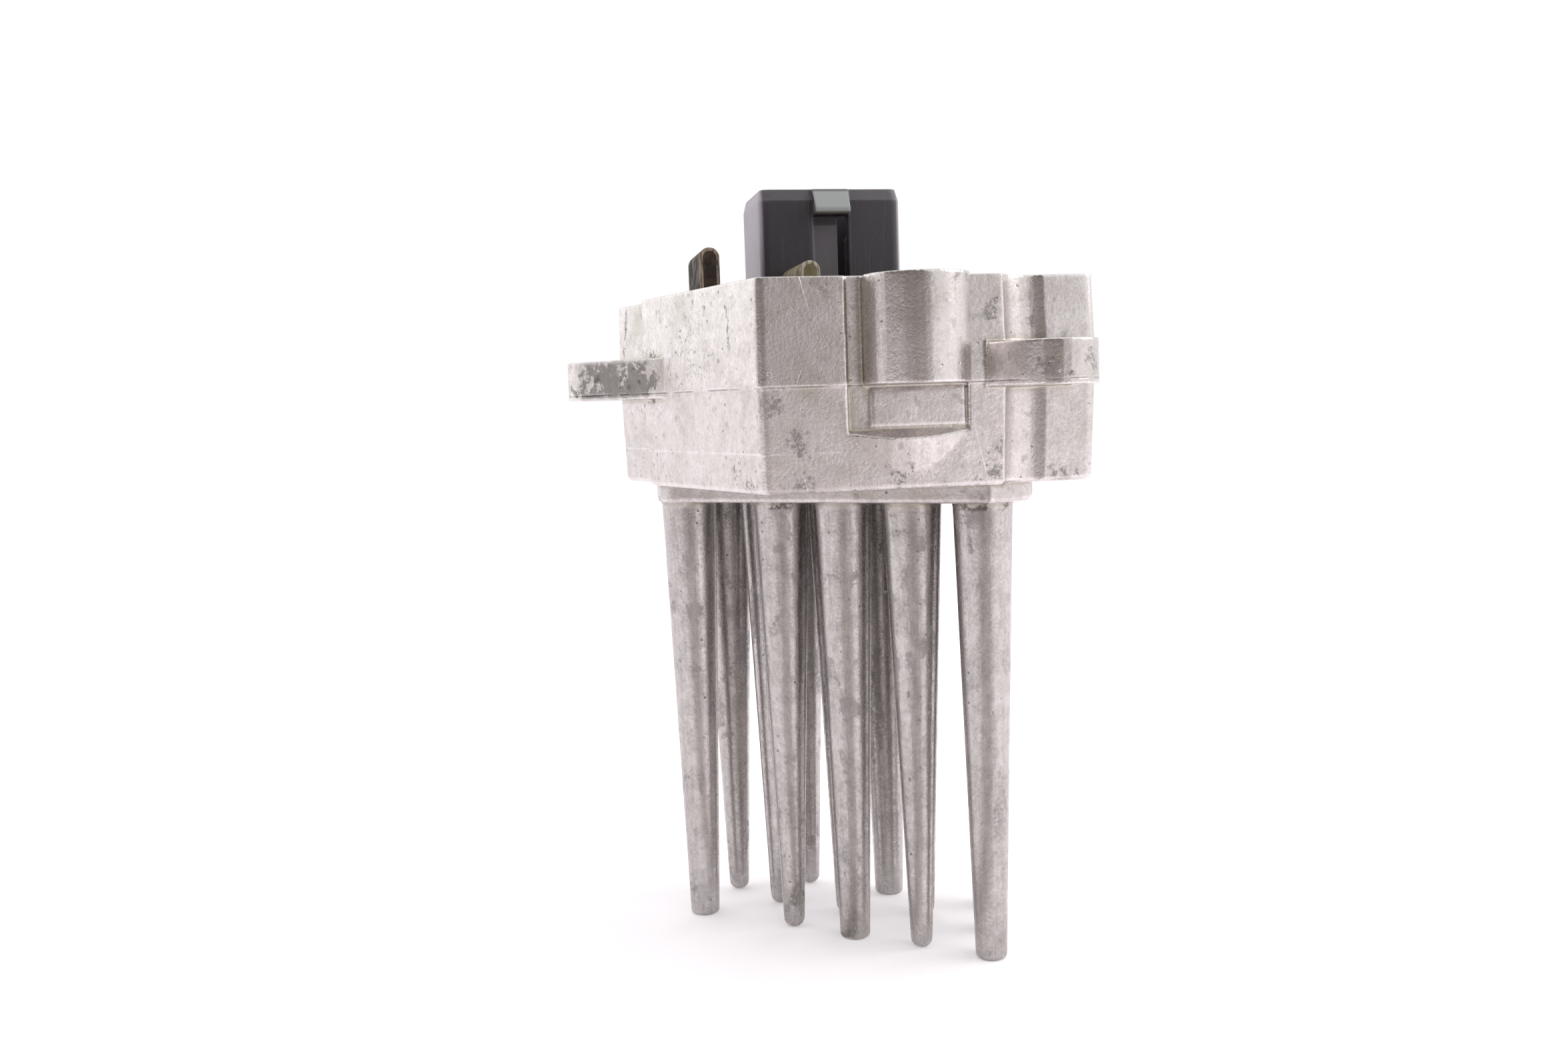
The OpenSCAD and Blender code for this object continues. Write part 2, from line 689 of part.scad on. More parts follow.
// A strip folded over on itself, with a solder tail under one leg
module motor_blade(place, reach) {
    radius = blade_fold / 2;
    foot_z = lid_z + pocket_skin;
    height = rim_z + reach - radius - foot_z;
    gap_radius = radius - blade_gauge;
    color([0.62, 0.58, 0.52]) placed() translate([place[0], place[1], 0]) {
        translate([radius, blade_width, foot_z])
            rotate([90, 0, 0])
                linear_extrude(blade_width)
                    difference() {
                        union() {
                            translate([-radius, 0]) square([blade_fold, height]);
                            translate([0, height]) circle(radius);
                        }
                        translate([-gap_radius, -cut]) square([2 * gap_radius, height + cut]);
                        translate([0, height]) circle(gap_radius);
                    }
        translate([0, tail_offset, tail_z]) cube([blade_gauge, tail_width, foot_z - tail_z]);
    }
}

module motor_blade_left() {
    motor_blade(left_blade, left_blade_reach);
}

module motor_blade_right() {
    motor_blade(right_blade, right_blade_reach);
}

// A flat pin with a pointed tip, from the board into the connector socket
module control_pin(index) {
    half = control_width / 2;
    top = socket_z + control_reach;
    color([0.72, 0.7, 0.66]) placed()
        translate([control_x(index), connector_y + control_gauge / 2, 0])
            rotate([90, 0, 0])
                linear_extrude(control_gauge)
                    polygon([[-half / 2, tail_z], [half / 2, tail_z], [half / 2, lid_z], [half, lid_z],
                        [half, top - half], [half / 2, top], [-half / 2, top], [-half, top - half],
                        [-half, lid_z], [-half / 2, lid_z]]);
}

module control_pin_1() {
    control_pin(0);
}

module control_pin_2() {
    control_pin(1);
}

module control_pin_3() {
    control_pin(2);
}

module insulating_pad(side) {
    width = transistor_width + 2 * pad_border;
    length = transistor_length + 2 * pad_border;
    color([0.75, 0.72, 0.68]) placed()
        translate([clamp_x + side * transistor_step - width / 2, clamp_y - length / 2, floor_z])
            cube([width, length, pad_thickness]);
}

module insulating_pad_left() {
    insulating_pad(-1);
}

module insulating_pad_right() {
    insulating_pad(1);
}

// Places its children at the front left foot of one transistor
module at_transistor(side) {
    placed() translate([clamp_x + side * transistor_step - transistor_width / 2, transistor_front, transistor_z])
        children();
}

// Metal tab under a transistor, drawn a little larger to make its own pocket
module tab(play) {
    translate([leg_width - play, leg_width - play, -play])
        cube([transistor_width - 2 * leg_width + 2 * play, transistor_length - 2 * leg_width + 2 * play,
            tab_thickness + 2 * play]);
}

module transistor(side) {
    shoulder = transistor_thickness - tab_thickness;
    color([0.1, 0.1, 0.1]) at_transistor(side) difference() {
        translate([0, transistor_length, 0])
            rotate([90, 0, 0])
                linear_extrude(transistor_length)
                    polygon([[0, 0], [transistor_width, 0], [transistor_width, shoulder],
                        [transistor_width - leg_gauge, transistor_thickness],
                        [leg_gauge, transistor_thickness], [0, shoulder]]);
        tab(slot_play);
    }
}

module transistor_left() {
    transistor(-1);
}

module transistor_right() {
    transistor(1);
}

module transistor_leads(side) {
    leg_z = transistor_thickness / 2;
    leg_top = board_top + leg_gauge - transistor_z;
    color([0.75, 0.74, 0.72]) at_transistor(side) {
        tab(0);
        for (i = [-1:1])
            translate([transistor_width / 2 + i * leg_pitch - leg_width / 2, -leg_reach, leg_z]) {
                cube([leg_width, leg_reach, leg_gauge]);
                cube([leg_width, leg_gauge, leg_top - leg_z]);
            }
    }
}

module transistor_leads_left() {
    transistor_leads(-1);
}

module transistor_leads_right() {
    transistor_leads(1);
}

// Flat spring with turned-up ends that presses both transistors on the casting
module clamp_spring() {
    reach = transistor_gap / 2 + spring_grip;
    lift = spring_thickness;
    color([0.55, 0.56, 0.58]) placed() translate([clamp_x, clamp_y, spring_z]) difference() {
        translate([0, spring_width / 2, 0])
            rotate([90, 0, 0])
                linear_extrude(spring_width)
                    polygon([[-reach, lift], [-reach + 2 * lift, 0], [reach - 2 * lift, 0], [reach, lift],
                        [reach, 2 * lift], [reach - 2 * lift, lift], [-reach + 2 * lift, lift],
                        [-reach, 2 * lift]]);
        translate([0, 0, -cut])
            cylinder(h = spring_thickness + 2 * cut, r = clamp_screw_radius + hole_play);
    }
}

// A screw with a flat round head, its head's underside at the given height
module screw(radius, depth, head_radius, head_height) {
    translate([0, 0, -depth]) cylinder(h = depth + head_height / 2, r = radius);
    cylinder(h = head_height, r = head_radius);
}

module clamp_screw() {
    depth = clamp_head_z - floor_z + clamp_screw_depth;
    color([0.6, 0.6, 0.6]) placed() translate([clamp_x, clamp_y, clamp_head_z])
        screw(clamp_screw_radius, depth, clamp_head_radius, clamp_head_height);
}

module circuit_board() {
    color([0.1, 0.32, 0.2]) placed() difference() {
        hollow(lower_inset + board_clearance, board_z, board_top);
        for (post = posts)
            translate([post[0], post[1], board_z - cut])
                cylinder(h = board_thickness + 2 * cut, r = board_screw_radius + hole_play);
        for (wire = can_wires)
            translate([wire[0], wire[1], board_z - cut])
                cylinder(h = board_thickness + 2 * cut, r = can_wire_radius + hole_play);
        for (blade = [left_blade, right_blade])
            translate([blade[0] - hole_play, blade[1] + tail_offset - hole_play, board_z - cut])
                cube([blade_gauge + 2 * hole_play, tail_width + 2 * hole_play, board_thickness + 2 * cut]);
        for (i = [0:2])
            translate([control_x(i) - control_width / 4 - hole_play,
                connector_y - control_gauge / 2 - hole_play, board_z - cut])
                cube([control_width / 2 + 2 * hole_play, control_gauge + 2 * hole_play,
                    board_thickness + 2 * cut]);
        for (side = [-1, 1], i = [-1:1])
            translate([clamp_x + side * transistor_step + i * leg_pitch - leg_width / 2 - hole_play,
                leg_y - hole_play, board_z - cut])
                cube([leg_width + 2 * hole_play, leg_gauge + 2 * hole_play, board_thickness + 2 * cut]);
    }
}

module board_screws() {
    color([0.6, 0.6, 0.6]) placed()
        for (post = posts)
            translate([post[0], post[1], board_top])
                screw(board_screw_radius, board_thickness + board_screw_depth, board_head_radius,
                    board_head_height);
}

// Drawn can with a rolled neck above its seal
module capacitor_can() {
    neck_z = can_seal_height + can_wall;
    neck = 2 * can_wall;
    color([0.72, 0.72, 0.74]) placed() translate([can_x, 0, can_z]) difference() {
        rotate_extrude()
            polygon([[0, 0], [can_radius, 0], [can_radius, neck_z], [can_radius - can_wall, neck_z + neck],
                [can_radius, neck_z + 2 * neck], [can_radius, can_height - can_wall],
                [can_radius - can_wall, can_height], [0, can_height]]);
        translate([0, 0, -cut])
            cylinder(h = can_seal_height + cut, r = can_radius - can_wall + slot_play);
    }
}

module capacitor_seal() {
    color([0.12, 0.12, 0.12]) placed() difference() {
        translate([can_x, 0, can_z]) cylinder(h = can_seal_height, r = can_radius - can_wall);
        for (wire = can_wires)
            translate([wire[0], wire[1], can_z - cut])
                cylinder(h = can_seal_height + 2 * cut, r = can_wire_radius + slot_play);
    }
}

module capacitor_wires() {
    color([0.8, 0.8, 0.8]) placed()
        for (wire = can_wires)
            translate([wire[0], wire[1], tail_z])
                cylinder(h = can_z + can_seal_height - tail_z, r = can_wire_radius);
}

module control_chip() {
    color([0.12, 0.12, 0.12]) placed()
        translate([chip_place[0] - chip_length / 2, chip_place[1] - chip_width / 2, board_top + chip_leg_gauge])
            cube([chip_length, chip_width, chip_height]);
}

// Two rows of bent legs that carry the chip
module chip_legs() {
    color([0.8, 0.8, 0.8]) placed()
        translate([chip_place[0], chip_place[1], board_top])
            for (side = [0, 180], i = [-1.5:1.5])
                rotate(side)
                    translate([i * chip_leg_pitch - chip_leg_gauge, chip_width / 2, 0]) {
                        translate([0, -chip_leg_length / 2, 0])
                            cube([2 * chip_leg_gauge, 1.5 * chip_leg_length, chip_leg_gauge]);
                        cube([2 * chip_leg_gauge, chip_leg_gauge, chip_height / 2]);
                    }
}

// Flat strip bent into a low bridge
module shunt_strip() {
    half = shunt_length / 2;
    foot = shunt_width / 2;
    color([0.7, 0.45, 0.3]) placed()
        translate([shunt_place[0], shunt_place[1] + shunt_width / 2, board_top])
            rotate([90, 0, 0])
                linear_extrude(shunt_width)
                    polygon([[-half, 0], [-half + foot, 0], [-half + foot + shunt_height, shunt_height - shunt_gauge],
                        [half - foot - shunt_height, shunt_height - shunt_gauge], [half - foot, 0], [half, 0],
                        [half, shunt_gauge], [half - foot + shunt_gauge, shunt_gauge],
                        [half - foot - shunt_height + shunt_gauge, shunt_height],
                        [-half + foot + shunt_height - shunt_gauge, shunt_height],
                        [-half + foot - shunt_gauge, shunt_gauge], [-half, shunt_gauge]]);
}

module suppressor_diode() {
    color([0.15, 0.15, 0.16]) placed()
        translate([diode_place[0] - diode_length / 2, diode_place[1] - diode_width / 2, board_top])
            cube([diode_length, diode_width, diode_height]);
}

// A row of small chip parts of one size
module small_parts(count, y, size) {
    placed()
        for (i = [0:count - 1])
            translate([clamp_x + (i - 1) * small_part_pitch - size[0] / 2, y, board_top]) cube(size);
}

module chip_resistors() {
    color([0.15, 0.15, 0.17]) small_parts(resistor_count, small_part_y, [resistor_length, resistor_width, resistor_height]);
}

module chip_capacitors() {
    color([0.6, 0.5, 0.38]) small_parts(ceramic_count, small_part_y + small_part_pitch,
        [ceramic_length, ceramic_width, ceramic_height]);
}

heat_sink();
lid();
sealing_bead();
motor_blade_left();
motor_blade_right();
control_pin_1();
control_pin_2();
control_pin_3();
insulating_pad_left();
insulating_pad_right();
transistor_left();
transistor_right();
transistor_leads_left();
transistor_leads_right();
clamp_spring();
clamp_screw();
circuit_board();
board_screws();
capacitor_can();
capacitor_seal();
capacitor_wires();
control_chip();
chip_legs();
shunt_strip();
suppressor_diode();
chip_resistors();
chip_capacitors();
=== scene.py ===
"""Blower motor resistor: a die-cast tray on cooling pins, with its lid, connector, blades and inner parts.

Lengths are in millimetres, unless a name or docstring says otherwise.
"""
from __future__ import annotations

import json
import logging
import math
from dataclasses import dataclass, field
from enum import Enum
from typing import Any, Callable, Sequence, Union

import bmesh
import bpy
import numpy as np
from mathutils import Matrix, Vector

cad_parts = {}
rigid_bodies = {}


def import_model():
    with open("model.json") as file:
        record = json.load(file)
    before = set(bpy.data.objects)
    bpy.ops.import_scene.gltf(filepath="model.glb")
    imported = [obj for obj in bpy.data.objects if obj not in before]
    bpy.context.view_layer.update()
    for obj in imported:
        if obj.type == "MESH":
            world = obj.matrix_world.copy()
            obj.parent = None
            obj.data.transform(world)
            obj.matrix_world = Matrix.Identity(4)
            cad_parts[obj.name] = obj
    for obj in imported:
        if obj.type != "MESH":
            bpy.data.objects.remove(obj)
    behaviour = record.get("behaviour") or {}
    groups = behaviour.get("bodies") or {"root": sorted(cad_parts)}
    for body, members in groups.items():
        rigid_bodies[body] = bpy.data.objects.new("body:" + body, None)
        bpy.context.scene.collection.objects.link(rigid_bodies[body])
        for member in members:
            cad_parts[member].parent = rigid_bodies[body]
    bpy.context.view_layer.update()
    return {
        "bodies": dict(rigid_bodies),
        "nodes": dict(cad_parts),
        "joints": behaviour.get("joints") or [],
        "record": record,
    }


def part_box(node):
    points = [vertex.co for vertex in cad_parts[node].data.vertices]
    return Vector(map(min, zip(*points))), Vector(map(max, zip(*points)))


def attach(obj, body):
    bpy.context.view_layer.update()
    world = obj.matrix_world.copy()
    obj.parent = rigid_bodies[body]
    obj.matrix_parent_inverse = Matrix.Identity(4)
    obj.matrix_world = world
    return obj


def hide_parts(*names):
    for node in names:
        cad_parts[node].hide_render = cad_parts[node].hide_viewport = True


LOG = logging.getLogger("regulator")
MM = 0.001
BODY = "root"
WEAR = "edge_wear"
WHITE = (1.0, 1.0, 1.0)
MERGE_MM = 0.002

Colour = tuple[float, float, float]
Place = tuple[float, float, float]
Pair = tuple[float, float]
Value = Union["Wire", float, int, tuple, bool]
Piece = bpy.types.Object
Material = bpy.types.Material
Mesh = bpy.types.Mesh
Nodes = dict[str, Piece]


class Wire:
    """One socket of a node tree, with arithmetic that adds Math nodes."""

    def __init__(self, graph: Graph, socket: bpy.types.NodeSocket) -> None:
        """Keep the socket and the graph that it belongs to."""
        self.graph = graph
        self.socket = socket

    def math(self, operation: str, *values: Value, clamp: bool = False) -> Wire:
        """Add one Math node.

        Args:
            operation: the Math node's operation.
            values: its inputs, in order.
            clamp: whether the result is held between 0 and 1.

        Returns:
            The node's result.
        """
        settings = {"operation": operation, "use_clamp": clamp}
        return self.graph.node("ShaderNodeMath", settings, dict(enumerate(values)))

    def __add__(self, other: Value) -> Wire:
        """Add a value."""
        return self.math("ADD", self, other)

    def __radd__(self, other: Value) -> Wire:
        """Add to a value."""
        return self.math("ADD", other, self)

    def __sub__(self, other: Value) -> Wire:
        """Take a value away."""
        return self.math("SUBTRACT", self, other)

    def __rsub__(self, other: Value) -> Wire:
        """Take this from a value."""
        return self.math("SUBTRACT", other, self)

    def __mul__(self, other: Value) -> Wire:
        """Multiply by a value."""
        return self.math("MULTIPLY", self, other)

    def __rmul__(self, other: Value) -> Wire:
        """Multiply a value."""
        return self.math("MULTIPLY", other, self)

    def __truediv__(self, other: Value) -> Wire:
        """Divide by a value."""
        return self.math("DIVIDE", self, other)

    def __pow__(self, other: Value) -> Wire:
        """Raise to a power."""
        return self.math("POWER", self, other)

    def clamp(self) -> Wire:
        """Hold between 0 and 1."""
        return self.math("ADD", self, 0.0, clamp=True)

    def most(self, other: Value) -> Wire:
        """Take the larger of two values."""
        return self.math("MAXIMUM", self, other)

    def least(self, other: Value) -> Wire:
        """Take the smaller of two values."""
        return self.math("MINIMUM", self, other)

    def step(self, low: float, high: float) -> Wire:
        """Ease from 0 to 1.

        Args:
            low: the value that gives 0.
            high: the value that gives 1.

        Returns:
            The eased value.
        """
        settings = {"interpolation_type": "SMOOTHSTEP"}
        return self.graph.node("ShaderNodeMapRange", settings, {0: self, 1: low, 2: high, 3: 0.0, 4: 1.0})

    def band(self, middle: float, half: float, soft: float) -> Wire:
        """Mark a band of a coordinate.

        Args:
            middle: where the band lies.
            half: its half width.
            soft: width over which it fades.

        Returns:
            A mask, 1 in the band.
        """
        away = self.math("ABSOLUTE", self - middle)
        return 1 - away.step(half, half + soft)


class Graph:
    """A node tree that is filled by one method."""

    def __init__(self, tree: bpy.types.NodeTree) -> None:
        """Keep the tree."""
        self.tree = tree

    def node(self, kind: str, settings: dict[str, Any] | None = None, sockets: dict[Any, Value] | None = None,
             out: int | str = 0) -> Wire:
        """Add one node.

        Args:
            kind: the node's type.
            settings: its properties, set first.
            sockets: values or wires for its inputs, by name or number.
            out: the output to return, by name or number.

        Returns:
            The chosen output, or the first input of a node that has no outputs.
        """
        node = self.tree.nodes.new(kind)
        for name, value in (settings or {}).items():
            setattr(node, name, value)
        for name, value in (sockets or {}).items():
            socket = node.inputs[name]
            if isinstance(value, Wire):
                self.tree.links.new(value.socket, socket)
            elif socket.type == "RGBA" and len(value) == 3:
                socket.default_value = (*value, 1.0)
            else:
                socket.default_value = value
        return Wire(self, node.outputs[out] if len(node.outputs) else node.inputs[0])

    def mix(self, mask: Value, first: Value, second: Value) -> Wire:
        """Blend two colours.

        Args:
            mask: 0 gives the first, 1 the second.
            first: a colour.
            second: a colour.

        Returns:
            The blended colour.
        """
        return self.node("ShaderNodeMix", {"data_type": "RGBA"}, {0: mask, 6: first, 7: second}, 2)

    def ray(self, kind: str) -> Wire:
        """Tell whether a ray is of one kind, such as Camera."""
        return self.node("ShaderNodeLightPath", out=f"Is {kind} Ray")

    def near(self, way: Wire, axis: Place, edge: Pair) -> Wire:
        """Mark the directions near an axis.

        Args:
            way: the direction.
            axis: the middle of the marked directions, of length 1.
            edge: the cosines between which the mark fades in.

        Returns:
            A mask, 1 near the axis.
        """
        dot = self.node("ShaderNodeVectorMath", {"operation": "DOT_PRODUCT"}, {0: way, 1: axis}, "Value")
        return dot.step(*edge)


class Shader(Graph):
    """A material under construction, with the patterns that the finishes share."""

    def __init__(self, name: str) -> None:
        """Start an empty material."""
        self.material = bpy.data.materials.new(name)
        self.material.use_nodes = True
        super().__init__(self.material.node_tree)
        self.tree.nodes.clear()
        self.at = self.node("ShaderNodeTexCoord", out="Object")

    def axis(self, name: str) -> Wire:
        """Give one object coordinate in millimetres."""
        return self.node("ShaderNodeSeparateXYZ", None, {0: self.at}, name) * (1 / MM)

    def noise(self, grain_mm: float, detail: float = 4.0, roughness: float = 0.55, distortion: float = 0.0,
              stretch: Place = (1.0, 1.0, 1.0), offset: Place = (0.0, 0.0, 0.0)) -> Wire:
        """Add a noise pattern.

        Args:
            grain_mm: rough size of its features.
            detail: octaves.
            roughness: weight of the finer octaves.
            distortion: how far the pattern is bent.
            stretch: scale by axis, below 1 to lengthen.
            offset: shift that sets this pattern apart from others.

        Returns:
            The noise value, near 0.5 on average.
        """
        vector = self.node("ShaderNodeMapping", None, {
            "Vector": self.at, "Scale": stretch, "Location": offset})
        return self.node("ShaderNodeTexNoise", None, {
            "Vector": vector, "Scale": 1 / (grain_mm * MM), "Detail": detail, "Roughness": roughness,
            "Distortion": distortion})

    def cells(self, grain_mm: float, out: str = "Distance", randomness: float = 1.0) -> Wire:
        """Add a cell pattern.

        Args:
            grain_mm: rough distance between cells.
            out: Distance or Color.
            randomness: how unevenly the cells lie.

        Returns:
            The chosen output.
        """
        return self.node("ShaderNodeTexVoronoi", None, {
            "Vector": self.at, "Scale": 1 / (grain_mm * MM), "Randomness": randomness}, out)

    def specks(self, grain_mm: float, size: float, share: float) -> Wire:
        """Scatter round specks.

        Args:
            grain_mm: rough distance between places for a speck.
            size: radius of a speck in cells.
            share: part of the cells that hold one.

        Returns:
            A mask, 1 in a speck.
        """
        pick = self.node("ShaderNodeSeparateColor", None, {0: self.cells(grain_mm, "Color")})
        return (1 - self.cells(grain_mm).step(0.4 * size, size)) * pick.step(1 - share, 1 - share + 0.02)

    def scratches(self, turn: float, gap_mm: float, share: float, length: float = 40.0) -> Wire:
        """Draw fine straight scratches across the front.

        Args:
            turn: their lean to the right, in degrees.
            gap_mm: rough distance between them.
            share: part of the surface that they take, 0 to 1.
            length: their length in gaps.

        Returns:
            A mask, 1 in a scratch.
        """
        rarest, fade = 0.78, 0.02
        vector = self.node("ShaderNodeMapping", {"vector_type": "TEXTURE"}, {
            "Vector": self.at, "Rotation": (0.0, math.radians(turn), 0.0), "Scale": (1.0, 1.0, length)})
        line = self.node("ShaderNodeTexNoise", None, {
            "Vector": vector, "Scale": 1 / (gap_mm * MM), "Detail": 1.0})
        return line.step(rarest - share, rarest + fade - share)

    def attribute(self, name: str) -> Wire:
        """Read a value that is stored on the mesh."""
        return self.node("ShaderNodeAttribute", {"attribute_name": name}, None, "Fac")

    def bump(self, height: Wire, depth_mm: float) -> Wire:
        """Turn a height pattern of the given depth into a normal."""
        return self.node("ShaderNodeBump", None, {
            "Height": height, "Strength": 1.0, "Distance": depth_mm * MM})

    def close(self, **sockets: Value) -> Material:
        """Finish the material with a Principled shader.

        Args:
            sockets: the shader's inputs, with _ for a blank.

        Returns:
            The material.
        """
        named = {name.replace("_", " "): value for name, value in sockets.items()}
        shader = self.node("ShaderNodeBsdfPrincipled", None, named)
        self.node("ShaderNodeOutputMaterial", None, {"Surface": shader})
        return self.material


@dataclass(frozen=True)
class Smudge:
    """A stained place on the casting, or a place of painted shade."""

    place: Place
    radius: float
    weight: float = 1.0
    fray: float = 4.5
    edge: float = 1.1

    def mask(self, s: Shader, ragged: Wire) -> Wire:
        """Mark the place.

        Args:
            s: the material under construction.
            ragged: a noise that frays the outline.

        Returns:
            A mask, strongest in the middle.
        """
        spot = tuple(value * MM for value in self.place)
        away = s.node("ShaderNodeVectorMath", {"operation": "DISTANCE"}, {0: s.at, 1: spot}, "Value")
        frayed = away * (1 / (self.radius * MM)) + self.fray * (ragged - 0.5)
        return (1 - frayed.step(0.0, self.edge)) * self.weight


TRAY_SMUDGES_AND_SHADE = tuple(Smudge(*row) for row in (
    ((-6.7, -20.4, 63.4), 2.4),
    ((-10.6, -20.6, 73.6), 2.8),
    ((-6.9, -20.5, 69.8), 2.2),
    ((-3.2, -20.6, 87.6), 3.0, 0.8),
    ((4.9, -20.4, 64.3), 2.0),
    ((17.8, -20.4, 64.4), 3.0),
    ((18.2, -20.4, 67.6), 2.2),
    ((15.9, -20.4, 78.2), 2.6, 0.7),
    ((27.5, -18.0, 63.2), 3.0),
    ((17.3, -20.4, 83.6), 2.2),
    ((23.0, -17.8, 83.4), 1.8),
    ((22.5, -27.3, 77.6), 2.8),
    ((28.0, -27.0, 78.5), 2.2),
    # The two on the left ear darken its side and the wall at its root: partly its own stain, partly painted
    # shade.
    ((-26.6, 14.2, 77.6), 6.4, 3.0),
    ((-22.8, 9.2, 77.6), 3.6, 3.0),
    ((-17.3, -3.5, 82.0), 11.0, 0.55),
    ((-12.6, -17.5, 64.0), 2.6),
    ((-14.0, -14.0, 65.5), 3.4, 0.7),
))
PIN_STAIN = 1.5
PIN_SMUDGES = tuple(Smudge(place, radius, PIN_STAIN) for place, radius in (
    ((10.2, -10.9, 54.8), 1.9),
    ((10.8, -10.1, 42.0), 2.2),
    ((10.2, -9.9, 35.0), 1.5),
    ((2.3, -5.0, 50.7), 2.0),
    ((2.5, -4.5, 32.6), 2.0),
    ((-5.5, 0.8, 54.6), 1.4),
    ((-16.8, 9.3, 52.0), 1.8),
    ((-16.4, 9.6, 45.0), 1.4),
    ((-16.6, 9.8, 36.6), 1.8),
    ((-16.3, 10.1, 27.0), 1.6),
    ((16.6, -16.6, 59.0), 1.8),
    ((18.9, -16.2, 56.5), 1.5),
    ((17.6, -16.0, 30.3), 1.6),
))


